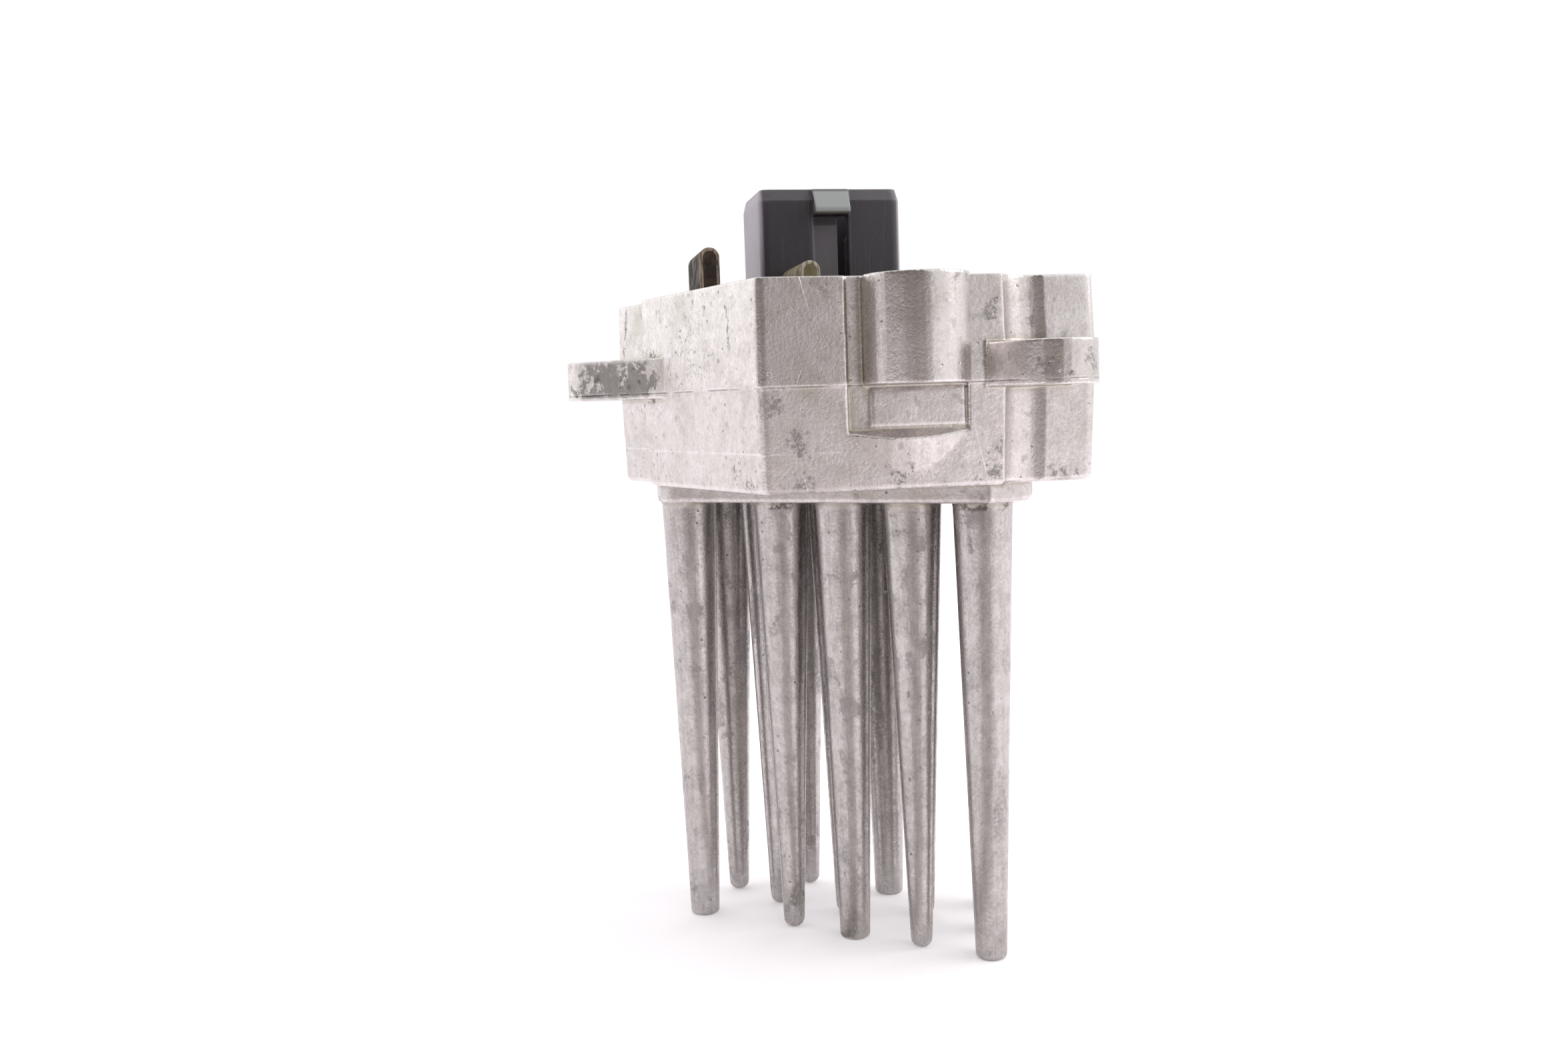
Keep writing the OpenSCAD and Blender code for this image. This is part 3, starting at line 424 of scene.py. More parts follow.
@dataclass(frozen=True)
class CastAluminium:
    """Bare die casting: mottled, stained, speckled and bright with wear along its edges, with painted glints
    and painted shade.
    """

    name: str = "cast_aluminium"
    clean: Colour = (0.81, 0.764, 0.755)
    dull: Colour = (0.43, 0.393, 0.372)
    stain_and_shade: Colour = (0.12, 0.11, 0.10)
    tan: Colour = (0.46, 0.42, 0.33)
    rust: Colour = (0.36, 0.22, 0.10)
    bright: Colour = (0.95, 0.93, 0.92)
    parting_z: float = 75.8
    parting_half: float = 0.05
    lip_rise: float = 0.2
    lip_half: float = 0.06
    flash_z: float = 67.9
    flash_half: float = 0.07
    flash_end: float = -1.0
    line_fade: float = 0.09
    level: float = 0.62
    drag: float = 0.3
    grime: float = 0.62
    grime_fade: float = 0.14
    patch_pull: float = 0.22
    soot_edge: Pair = (0.62, 0.77)
    soil_and_shade: float = 0.65
    patch_mm: float = 5.0
    tip_z: float = 0.0
    foot_z: float = 61.6
    foot_shade_half: float = 1.1
    side_fade: float = 2.0
    front_y: float = -19.0
    metal: float = 0.94
    rough: float = 0.26
    relief_mm: float = 0.11
    smudges_and_shade: tuple[Smudge, ...] = ()

    def build(self) -> Material:
        """Make the material.

        Returns:
            The material.
        """
        s = Shader(self.name)
        z = s.axis("Z")
        mottle = s.noise(1.7, 9.0, 0.75, 0.2)
        cloud = s.noise(12.0, 5.0, 0.6, 0.8, offset=(0.3, 0.1, 0.2))
        grain = s.noise(0.42, 3.0, 0.7)
        drawn = s.noise(0.6, 4.0, 0.65, 0.0, (1.0, 1.0, 0.06))
        glint = s.noise(0.17, 1.0, 0.5, offset=(0.05, 0.02, 0.07)).step(0.64, 0.76)
        pits = s.specks(1.3, 0.17, 0.25)
        spots = s.noise(1.3, 2.0, 0.5, offset=(0.9, 0.3, 0.6)).step(0.60, 0.74)
        patch = s.noise(self.patch_mm, 2.0, 0.5, 0.6, (1.0, 1.0, 0.5), (0.7, 0.4, 0.1))
        patch = patch.step(self.grime, self.grime + self.grime_fade)
        ragged = s.noise(3.4, 7.0, 0.7, 0.5, offset=(0.6, 0.2, 0.8))
        for smudge in self.smudges_and_shade:
            patch = smudge.mask(s, ragged).most(patch)
        soot = s.noise(0.55, 6.0, 0.8, 0.2, offset=(0.1, 0.8, 0.4))
        dirt_and_shade = (soot + self.patch_pull * patch).step(*self.soot_edge)
        front = 1 - s.axis("Y").step(self.front_y, self.front_y + self.side_fade)
        scratched = s.scratches(22.0, 0.5, 0.02).most(s.scratches(-14.0, 0.6, 0.02)) * front
        rusty = s.noise(1.6, 5.0, 0.7, 0.6, offset=(0.2, 0.6, 0.3)).step(0.66, 0.76) * cloud.step(0.5, 0.68)
        wear = s.attribute(WEAR)
        convex = wear.step(0.55, 0.78)
        hollow = 1 - wear.step(0.28, 0.47)
        line_break = s.noise(4.0, 3.0, offset=(0.4, 0.2, 0.9)).step(0.35, 0.6)
        parting = z.band(self.parting_z, self.parting_half, self.line_fade) * line_break
        lip = z.band(self.parting_z + self.lip_rise, self.lip_half, self.line_fade) * line_break
        left = 1 - s.axis("X").step(self.flash_end - self.side_fade, self.flash_end)
        flash = z.band(self.flash_z, self.flash_half, self.line_fade) * left
        tone = (self.level + 1.2 * (0.5 - mottle) + 0.85 * (0.5 - grain) + 0.8 * (0.5 - cloud)
                + self.drag * (0.5 - drawn)).clamp()
        colour = s.mix(tone, self.dull, self.clean)
        tanned = (0.35 * cloud.step(0.52, 0.68) + 0.5 * hollow).clamp() * (1 - convex)
        colour = s.mix(tanned, colour, self.tan)
        # Pins darker towards their tips, next to the floor: painted shade.
        tip_shade = 0.3 * (1 - z.step(0.0, self.tip_z)) if self.tip_z else 0.0
        # Darker band round the plinth, which faces the floor in the tray's own shadow: painted shade.
        foot = z.band(self.foot_z + 0.2, self.foot_shade_half, 0.2)
        # Dirt, pits, spots, flash and the dark parting line, with painted shade: a little in hollows, on the
        # plinth, on the left ear and towards the pin tips.
        marks_and_shade = (self.soil_and_shade * dirt_and_shade + 0.5 * pits + 0.28 * spots + 0.06 * hollow + 0.6 * parting + 0.1 * flash
                 + 0.2 * foot + tip_shade).clamp()
        colour = s.mix(marks_and_shade * (1 - 0.8 * convex), colour, self.stain_and_shade)
        colour = s.mix(0.55 * rusty, colour, self.rust)
        rubbed = convex * z.step(self.foot_z, self.foot_z + 1.2)
        colour = s.mix((0.2 * rubbed + 0.33 * glint + 0.5 * scratched + 0.25 * lip
                        + 0.45 * flash * ragged.step(0.36, 0.52)).clamp(), colour, self.bright)
        rough = (self.rough + 0.5 * (mottle - 0.5) + 0.25 * (grain - 0.5) + 0.25 * marks_and_shade
                 - 0.08 * convex).clamp()
        height = (0.22 * mottle + 0.3 * grain + 0.25 * self.drag * drawn - 0.8 * pits - 0.4 * parting
                  + 0.25 * flash - 0.2 * scratched)
        return s.close(Base_Color=colour, Metallic=(self.metal - 0.5 * marks_and_shade).clamp(), Roughness=rough,
                       Normal=s.bump(height, self.relief_mm))


TRAY_METAL = CastAluminium(smudges_and_shade=TRAY_SMUDGES_AND_SHADE)
PIN_METAL = CastAluminium(
    name="cast_aluminium_pins", clean=(0.62, 0.586, 0.576), dull=(0.30, 0.28, 0.27), drag=1.0, grime=0.53,
    soil_and_shade=0.85, patch_mm=3.4, tip_z=8.0, rough=0.33, smudges_and_shade=PIN_SMUDGES)


@dataclass(frozen=True)
class BlackMoulding:
    """Satin black moulded plastic with a faint grain, scuffs and a little dust, painted light on its mouth
    bevel, latch pocket and right half, painted sheen on its sides and a painted highlight on its latch ramp.
    """

    name: str = "black_moulding"
    base: Colour = (0.041, 0.035, 0.044)
    worn_and_lit: Colour = (0.14, 0.131, 0.145)
    pale: Colour = (0.46, 0.41, 0.475)
    lip: Colour = (0.13, 0.12, 0.10)
    dust: Colour = (0.20, 0.19, 0.19)
    # Colour of the latch ramp: a painted highlight.
    rubbed: Colour = (0.375, 0.405, 0.39)
    rough: float = 0.38
    latch_x: float = 4.54
    latch_half: float = 2.45
    latch_z: float = 99.8
    pocket_shift: float = -0.7
    pocket_half: float = 1.8
    pocket_depth: float = 0.9
    fade: float = 0.1
    bevel_z: float = 101.9
    middle_x: float = 4.54
    half_width: float = 10.1
    foot_z: float = 88.0
    face_y: float = 8.475

    def build(self) -> Material:
        """Make the material.

        Returns:
            The material.
        """
        s = Shader(self.name)
        x, y, z = (s.axis(name) for name in "XYZ")
        grain = s.noise(0.22, 3.0, 0.6)
        cloud = s.noise(6.0, 5.0, 0.6, 0.5)
        scuff = s.noise(0.55, 5.0, 0.72, 0.3, (1.0, 1.0, 0.07)).step(0.52, 0.76)
        wear = s.attribute(WEAR).step(0.54, 0.8)
        dusty = s.noise(1.1, 6.0, 0.75).step(0.58, 0.78) * cloud.step(0.42, 0.68)
        ramp = x.band(self.latch_x, self.latch_half, self.fade)
        ramp = ramp * (1 - y.step(self.face_y - 0.3, self.face_y - 0.1))
        ramp = ramp * z.step(self.latch_z - 0.2, self.latch_z - 0.1)
        pocket = x.band(self.latch_x + self.pocket_shift, self.pocket_half, self.fade)
        pocket = pocket * y.band(self.face_y + self.pocket_depth, 0.6, self.fade)
        pocket = pocket * (1 - z.step(self.latch_z - 1.4, self.latch_z - 1.1))
        bevel = z.step(self.bevel_z - self.fade, self.bevel_z + self.fade)
        sides = 1 - x.band(self.middle_x, self.half_width - 0.7, 0.5)
        # Lighter right of the latch, on the mouth bevel and in the latch pocket: painted light.
        painted_light = 0.14 * x.step(self.latch_x + 1.0, self.latch_x + 6.0) + 0.5 * bevel + 0.95 * pocket
        colour = s.mix((0.5 * wear + 0.3 * scuff + painted_light).clamp(), self.base, self.worn_and_lit)
        colour = s.mix(0.35 * dusty, colour, self.dust)
        # Pale lilac on the connector's sides: painted sheen, broken into cloudy patches.
        haze_and_sheen = sides * cloud.step(0.26, 0.42) * z.step(self.foot_z, self.foot_z + 2.0)
        colour = s.mix(0.95 * haze_and_sheen, colour, self.pale)
        # The latch ramp lightened: painted highlight.
        colour = s.mix((0.95 * ramp).clamp(), colour, self.rubbed)
        under = ramp * (1 - z.step(self.latch_z + 0.3, self.latch_z + 0.5))
        colour = s.mix((0.9 * under).clamp(), colour, self.lip)
        rough = (self.rough + 0.35 * (cloud - 0.5) + 0.2 * (grain - 0.5) + 0.2 * dusty).clamp()
        return s.close(Base_Color=colour, Roughness=rough, Normal=s.bump(grain + 0.4 * cloud, 0.03))


@dataclass(frozen=True)
class SealSilicone:
    """Milky translucent sealant with a soft skin."""

    name: str = "seal_silicone"
    base: Colour = (0.66, 0.66, 0.60)
    shade: Colour = (0.50, 0.48, 0.40)

    def build(self) -> Material:
        """Make the material.

        Returns:
            The material.
        """
        s = Shader(self.name)
        ripple = s.noise(2.4, 3.0, 0.5, 0.6)
        skin = s.noise(0.5, 3.0, 0.6)
        colour = s.mix(ripple.step(0.35, 0.7), self.base, self.shade)
        rough = (0.3 + 0.25 * (skin - 0.5) + 0.2 * (ripple - 0.5)).clamp()
        return s.close(Base_Color=colour, Roughness=rough, Subsurface_Weight=0.35, Subsurface_Scale=0.0012,
                       Normal=s.bump(ripple + 0.3 * skin, 0.12))


@dataclass(frozen=True)
class TarnishedStrip:
    """Plated copper strip, blackened on its faces and tan where plugs have rubbed its edges."""

    name: str = "tinned_strip"
    bright: Colour = (0.55, 0.45, 0.36)
    brown: Colour = (0.11, 0.075, 0.05)
    black: Colour = (0.028, 0.023, 0.02)

    def build(self) -> Material:
        """Make the material.

        Returns:
            The material.
        """
        s = Shader(self.name)
        cloud = s.noise(3.0, 6.0, 0.65, 0.6)
        rubbed = s.noise(0.5, 4.0, 0.6, 0.4, (1.0, 1.0, 0.2))
        grain = s.noise(0.15, 2.0)
        wear = s.attribute(WEAR).step(0.54, 0.8)
        tarnish = (cloud.step(0.3, 0.62) - 0.4 * (rubbed - 0.5)).clamp()
        colour = s.mix(tarnish, self.brown, self.black)
        colour = s.mix((0.8 * wear * rubbed.step(0.3, 0.6)).clamp(), colour, self.bright)
        rough = (0.42 + 0.3 * tarnish + 0.2 * (grain - 0.5)).clamp()
        return s.close(Base_Color=colour, Metallic=(0.7 - 0.7 * tarnish).clamp(), Roughness=rough,
                       Specular_IOR_Level=0.2, Normal=s.bump(0.4 * rubbed + 0.4 * grain, 0.015))


@dataclass(frozen=True)
class BareMetal:
    """Plain metal of an inner part, drawn or rolled, with fine lines and a little oxide."""

    name: str
    base: Colour
    oxide: Colour
    rough: float = 0.35
    lines: Place = (1.0, 1.0, 0.1)

    def build(self) -> Material:
        """Make the material.

        Returns:
            The material.
        """
        s = Shader(self.name)
        line = s.noise(0.3, 4.0, 0.6, 0.0, self.lines)
        cloud = s.noise(2.0, 5.0, 0.6, 0.4)
        oxide = cloud.step(0.5, 0.75)
        colour = s.mix((0.5 * oxide + 0.4 * (line - 0.5)).clamp(), self.base, self.oxide)
        rough = (self.rough + 0.2 * (line - 0.5) + 0.2 * oxide).clamp()
        return s.close(Base_Color=colour, Metallic=0.95, Roughness=rough, Normal=s.bump(line, 0.015))


@dataclass(frozen=True)
class MouldedResin:
    """Moulded resin, rubber or ceramic of an inner part, with a fine matt grain."""

    name: str
    base: Colour
    pale: Colour
    rough: float = 0.55
    grain_mm: float = 0.2

    def build(self) -> Material:
        """Make the material.

        Returns:
            The material.
        """
        s = Shader(self.name)
        grain = s.noise(self.grain_mm, 3.0, 0.6)
        cloud = s.noise(2.5, 5.0, 0.6, 0.3)
        colour = s.mix((0.5 * cloud + 0.5 * grain).step(0.45, 0.7), self.base, self.pale)
        rough = (self.rough + 0.25 * (grain - 0.5)).clamp()
        return s.close(Base_Color=colour, Roughness=rough, Normal=s.bump(grain, 0.02))


@dataclass(frozen=True)
class BoardLaminate:
    """Green solder mask over a woven laminate, with paler copper tracks showing through."""

    name: str = "board_laminate"
    mask: Colour = (0.02, 0.12, 0.055)
    track: Colour = (0.05, 0.21, 0.09)

    def build(self) -> Material:
        """Make the material.

        Returns:
            The material.
        """
        s = Shader(self.name)
        weave = s.noise(0.35, 2.0, 0.5, 0.0, (1.0, 0.3, 1.0))
        track = s.cells(2.6, "Distance", 0.5).step(0.28, 0.34)
        colour = s.mix((0.7 * track + 0.4 * (weave - 0.5)).clamp(), self.mask, self.track)
        rough = (0.32 + 0.2 * (weave - 0.5)).clamp()
        return s.close(Base_Color=colour, Roughness=rough, Normal=s.bump(0.7 * track + 0.3 * weave, 0.03))


@dataclass
class Softened:
    """A merged copy of a CAD node with its edges rounded as on the real piece."""

    node: str
    voxel_mm: float
    passes: int
    triangles: int
    unevenness_mm: float = 0.0
    wave_mm: float = 5.0
    wave_octaves: int = 2
    smoothing: float = 0.5
    wear_mm: float = 1.6
    least_wear_passes: int = 4
    flat_weight: int = 90

    def merged(self, nodes: Nodes) -> Piece:
        """Copy the node's mesh and join its loose triangles.

        Args:
            nodes: the CAD nodes by name.

        Returns:
            A new object with the joined mesh.
        """
        mesh = bpy.data.meshes.new(self.node + "_copy")
        shape = bmesh.new()
        shape.from_mesh(nodes[self.node].data)
        bmesh.ops.remove_doubles(shape, verts=shape.verts, dist=MERGE_MM * MM)
        shape.to_mesh(mesh)
        shape.free()
        return add_object(self.node + "_visual", mesh)

    def round_edges(self, piece: Piece) -> None:
        """Remesh the piece finely and smooth it.

        Args:
            piece: the merged copy.
        """
        piece.data.materials.clear()
        remesh = piece.modifiers.new("remesh", "REMESH")
        remesh.mode = "VOXEL"
        remesh.voxel_size = self.voxel_mm * MM
        smooth = piece.modifiers.new("smooth", "SMOOTH")
        smooth.factor = self.smoothing
        smooth.iterations = self.passes
        if self.unevenness_mm:
            waves = bpy.data.textures.new(self.node + "_waves", "CLOUDS")
            waves.noise_scale = self.wave_mm * MM
            waves.noise_depth = self.wave_octaves
            uneven = piece.modifiers.new("uneven", "DISPLACE")
            uneven.texture = waves
            uneven.texture_coords = "LOCAL"
            uneven.strength = self.unevenness_mm * MM
        settle(piece)
        mark_edges(piece.data, max(self.least_wear_passes, round(self.wear_mm / self.voxel_mm)))

    def thin(self, piece: Piece) -> None:
        """Bring the piece under its share of triangles and let its flats lead the shading.

        Args:
            piece: the rounded piece.
        """
        count = sum(len(face.vertices) - 2 for face in piece.data.polygons)
        if count > self.triangles:
            collapse = piece.modifiers.new("thin", "DECIMATE")
            collapse.ratio = self.triangles / count
            collapse.use_collapse_triangulate = True
        piece.data.shade_smooth()
        flats = piece.modifiers.new("flats", "WEIGHTED_NORMAL")
        flats.mode = "FACE_AREA"
        flats.weight = self.flat_weight
        settle(piece)

    def build(self, nodes: Nodes, material: Material, slot: str,
              reshape: Callable[[Mesh], None] | None = None) -> Piece:
        """Make the whole piece and put it in the node's place.

        Args:
            nodes: the CAD nodes by name.
            material: its finish.
            slot: the record's material slot; not used.
            reshape: a change to the merged mesh, where it needs one.

        Returns:
            The finished piece.
        """
        piece = self.merged(nodes)
        if reshape is not None:
            reshape(piece.data)
        self.round_edges(piece)
        self.thin(piece)
        dress(piece, material)
        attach(piece, BODY)
        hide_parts(self.node)
        return piece


def add_object(name: str, data: bpy.types.ID) -> Piece:
    """Put a new object into the scene.

    Args:
        name: its name.
        data: its mesh, lamp or camera.

    Returns:
        The object.
    """
    made = bpy.data.objects.new(name, data)
    bpy.context.scene.collection.objects.link(made)
    return made


def settle(piece: Piece) -> None:
    """Turn a piece with modifiers into a plain mesh.

    Args:
        piece: the object whose modifiers are applied.
    """
    bpy.context.view_layer.update()
    made = bpy.data.meshes.new_from_object(piece.evaluated_get(bpy.context.evaluated_depsgraph_get()))
    piece.modifiers.clear()
    old = piece.data
    piece.data = made
    bpy.data.meshes.remove(old)


def dress(piece: Piece, material: Material, smooth: bool = True) -> None:
    """Give a piece one material.

    Args:
        piece: the object.
        material: its finish.
        smooth: whether its faces are shaded smooth.
    """
    piece.data.materials.clear()
    piece.data.materials.append(material)
    if smooth:
        piece.data.shade_smooth()


def rows_of(mesh: Mesh, name: str) -> np.ndarray:
    """Read one vector of each point of a mesh.

    Args:
        mesh: the mesh.
        name: co for the places or normal for the normals.

    Returns:
        The vectors as rows of three.
    """
    values = np.empty(len(mesh.vertices) * 3, np.float64)
    mesh.vertices.foreach_get(name, values)
    return values.reshape(-1, 3)


def mark_edges(mesh: Mesh, passes: int = 6, reach_mm: float = 0.12) -> None:
    """Store where a mesh is proud or hollow as a value from 0 to 1, 0.5 on flats.

    Args:
        mesh: the mesh.
        passes: how far round a point is looked at, in edges.
        reach_mm: the height that counts as fully proud.
    """
    points = rows_of(mesh, "co")
    ends = np.empty(len(mesh.edges) * 2, np.int64)
    mesh.edges.foreach_get("vertices", ends)
    first, second = ends[0::2], ends[1::2]
    count = np.bincount(ends, minlength=len(points)).clip(1)[:, None]
    flat = points.copy()
    near, far = np.concatenate((first, second)), np.concatenate((second, first))
    for _ in range(passes):
        flat = np.stack([np.bincount(near, flat[far, k], len(points)) for k in range(3)], axis=1) / count
    proud = ((points - flat) * rows_of(mesh, "normal")).sum(axis=1)
    layer = mesh.attributes.new(WEAR, "FLOAT", "POINT")
    layer.data.foreach_set("value", (0.5 + 0.5 * proud / (reach_mm * MM)).clip(0, 1).astype(np.float32))


class PinTip(Enum):
    """The two kinds of cooling pin."""

    FLAT = "flat"
    DOMED = "domed"


@dataclass
class CoolingPins:
    """Tapered cast pins on slanted rows below the tray."""

    length: float = 60.6
    root_radius: float = 3.85
    fillet: float = 0.5
    sunk: float = 0.6
    sides: int = 44
    rings: int = 56
    thinnest: float = 0.02
    unevenness: float = 0.05
    waves_per_metre: float = 190.0
    wave_detail: float = 3.0
    seed: int = 7
    tip_radius: dict[PinTip, float] = field(default_factory=lambda: {PinTip.FLAT: 2.05, PinTip.DOMED: 1.42})
    tip_edge: dict[PinTip, float] = field(default_factory=lambda: {PinTip.FLAT: 0.45, PinTip.DOMED: 1.12})
    row_middle: Pair = (2.64, -1.575)
    row_angle: float = -36.5
    pitch: float = 9.75
    grid: dict[PinTip, tuple[Pair, ...]] = field(default_factory=lambda: {
        PinTip.FLAT: ((2.0, 0.0), (0.0, 0.0), (-2.45, 0.03), (1.48, 1.74), (-0.16, 1.76)),
        PinTip.DOMED: ((1.0, 0.0), (-0.97, 0.03), (1.74, 0.86), (0.64, 1.12), (-0.47, 0.8), (-1.55, 0.79),
                       (-2.42, 1.09), (-1.48, 1.71)),
    })

    def spots(self, tip: PinTip) -> Piece:
        """Make a mesh with one point for each pin of a kind.

        Args:
            tip: the kind of pin.

        Returns:
            The object that carries the points.
        """
        turn = Matrix.Rotation(math.radians(self.row_angle), 2)
        points = []
        for along, across in self.grid[tip]:
            spot = Vector(self.row_middle) + turn @ Vector((along, across)) * self.pitch
            points.append((spot.x * MM, spot.y * MM, 0.0))
        mesh = bpy.data.meshes.new(tip.value + "_pins")
        mesh.from_pydata(points, [], [])
        return add_object(tip.value + "_pins", mesh)

    def tree(self) -> bpy.types.NodeTree:
        """Make the node tree that sweeps one pin and repeats it.

        Returns:
            The tree.
        """
        tree = bpy.data.node_groups.new("cooling_pins", "GeometryNodeTree")
        face = tree.interface
        face.new_socket("Spots", in_out="INPUT", socket_type="NodeSocketGeometry")
        for name in ("Length", "Root Radius", "Fillet", "Sunk", "Tip Radius", "Tip Edge", "Unevenness"):
            face.new_socket(name, in_out="INPUT", socket_type="NodeSocketFloat")
        for name in ("Sides", "Rings", "Seed"):
            face.new_socket(name, in_out="INPUT", socket_type="NodeSocketInt")
        face.new_socket("Finish", in_out="INPUT", socket_type="NodeSocketMaterial")
        face.new_socket("Pins", in_out="OUTPUT", socket_type="NodeSocketGeometry")
        g = Graph(tree)
        inlet = tree.nodes.new("NodeGroupInput")
        given = {socket.name: Wire(g, socket) for socket in inlet.outputs}
        line = g.node("GeometryNodeResampleCurve", {"mode": "COUNT"}, {
            "Curve": g.node("GeometryNodeCurvePrimitiveLine", None, {"Start": (0, 0, 1), "End": (0, 0, 0)}),
            "Count": given["Rings"]})
        share = g.node("GeometryNodeInputIndex") / (given["Rings"] - 1)
        eased = 0.5 - 0.5 * share.math("COSINE", share * math.pi)
        height = (1 - eased) * (given["Length"] + given["Sunk"])
        line = g.node("GeometryNodeSetPosition", None, {
            "Geometry": line, "Position": g.node("ShaderNodeCombineXYZ", None, {"Z": height})})
        taper = given["Tip Radius"] + (given["Root Radius"] - given["Tip Radius"]) * height / given["Length"]
        edge = given["Tip Edge"]
        below = (edge - height).most(0.0)
        tip_cut = edge - (edge * edge - below * below).most(0.0) ** 0.5
        fillet = given["Fillet"]
        rise = (height - given["Length"] + fillet).most(0.0).least(fillet)
        root_gain = fillet - (fillet * fillet - rise * rise).most(0.0) ** 0.5
        line = g.node("GeometryNodeSetCurveRadius", None, {
            "Curve": line, "Radius": (taper - tip_cut + root_gain).most(self.thinnest * MM)})
        ring = g.node("GeometryNodeCurvePrimitiveCircle", None, {"Resolution": given["Sides"], "Radius": 1.0})
        radius = g.node("GeometryNodeInputRadius")
        pin = g.node("GeometryNodeCurveToMesh", None, {
            "Curve": line, "Profile Curve": ring, "Scale": radius, "Fill Caps": True})
        spin = g.node("FunctionNodeRandomValue", {"data_type": "FLOAT"}, {
            2: 0.0, 3: 2 * math.pi, "Seed": given["Seed"]}, 1)
        turned = g.node("ShaderNodeCombineXYZ", None, {"Z": spin})
        pins = g.node("GeometryNodeInstanceOnPoints", None, {
            "Points": given["Spots"], "Instance": pin, "Rotation": turned})
        pins = g.node("GeometryNodeRealizeInstances", None, {"Geometry": pins})
        wave = g.node("ShaderNodeTexNoise", None, {
            "Vector": g.node("GeometryNodeInputPosition"), "Scale": self.waves_per_metre,
            "Detail": self.wave_detail})
        push = g.node("ShaderNodeVectorMath", {"operation": "SCALE"}, {
            0: g.node("GeometryNodeInputNormal"), "Scale": (wave - 0.5) * given["Unevenness"]})
        pins = g.node("GeometryNodeSetPosition", None, {"Geometry": pins, "Offset": push})
        pins = g.node("GeometryNodeSetShadeSmooth", None, {"Geometry": pins, "Shade Smooth": True})
        pins = g.node("GeometryNodeSetMaterial", None, {"Geometry": pins, "Material": given["Finish"]})
        g.node("NodeGroupOutput", None, {"Pins": pins})
        return tree

    def build(self, tip: PinTip, tree: bpy.types.NodeTree, material: Material) -> Piece:
        """Make all pins of one kind.

        Args:
            tip: the kind of pin.
            tree: the node tree.
            material: the finish.

        Returns:
            The finished piece.
        """
        piece = self.spots(tip)
        sizes = {
            "Length": self.length * MM, "Root Radius": self.root_radius * MM, "Fillet": self.fillet * MM,
            "Sunk": self.sunk * MM, "Tip Radius": self.tip_radius[tip] * MM,
            "Tip Edge": self.tip_edge[tip] * MM, "Unevenness": self.unevenness * MM, "Sides": self.sides,
            "Rings": self.rings, "Seed": self.seed, "Finish": material,
        }
        sweep = piece.modifiers.new("pins", "NODES")
        sweep.node_group = tree
        for item in tree.interface.items_tree:
            if item.in_out == "INPUT" and item.name in sizes:
                sweep[item.identifier] = sizes[item.name]
        settle(piece)
        mark_edges(piece.data)
        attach(piece, BODY)
        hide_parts("heat_sink")
        return piece


@dataclass
class CastTray:
    """The die-cast tray above the pins, with its ears, bulge and plinth."""

    soft: Softened = field(default_factory=lambda: Softened("heat_sink", 0.16, 3, 192_000, 0.05))
    cut_z: float = 63.0
    cut_slack: float = 0.0001
    plinth_bottom: float = 60.6
    plinth_top: float = 63.8
    plinth_round: float = 0.45
    plinth_round_steps: int = 3
    plinth: tuple[Pair, ...] = (
        (17.32, -19.03), (23.4, -16.4), (27.2, -7.9), (29.5, -2.0), (29.84, 6.24), (3.89, 25.44),
        (-14.55, 25.44), (-20.42, 17.51), (-20.68, 10.96), (-19.86, 8.48))

    def build(self, nodes: Nodes, material: Material) -> Piece:
        """Make the tray without its pins, which are swept apart."""
        return self.soft.build(nodes, material, "cast_aluminium", self.reshape)

    def reshape(self, mesh: Mesh) -> None:
        """Cut the casting off below the tray, close the cut and stand a plinth with rounded edges there.

        Args:
            mesh: the merged casting.
        """
        shape = bmesh.new()
        shape.from_mesh(mesh)
        everything = list(shape.verts) + list(shape.edges) + list(shape.faces)
        cut = bmesh.ops.bisect_plane(shape, geom=everything, dist=self.cut_slack * MM, clear_outer=True,
                                     plane_co=(0, 0, self.cut_z * MM), plane_no=(0, 0, -1))
        rim = [item for item in cut["geom_cut"] if isinstance(item, bmesh.types.BMEdge)]
        bmesh.ops.triangle_fill(shape, edges=rim, use_beauty=True, normal=(0, 0, -1))
        self.add_plinth(shape)
        bmesh.ops.recalc_face_normals(shape, faces=shape.faces)
        shape.to_mesh(mesh)
        shape.free()

    def add_plinth(self, shape: bmesh.types.BMesh) -> None:
        """Add the plinth as a closed block that reaches up into the floor of the tray.

        Args:
            shape: the casting's mesh under construction.
        """
        foot, head = ([shape.verts.new((x * MM, y * MM, z * MM)) for x, y in self.plinth]
                      for z in (self.plinth_bottom, self.plinth_top))
        shape.faces.new(foot)
        shape.faces.new(head)
        for k in range(len(foot)):
            shape.faces.new((foot[k - 1], foot[k], head[k], head[k - 1]))
        sharp = {edge for vertex in foot for edge in vertex.link_edges}
        bmesh.ops.bevel(shape, geom=list(sharp), offset=self.plinth_round * MM, profile=0.5, affect="EDGES",
                        segments=self.plinth_round_steps)


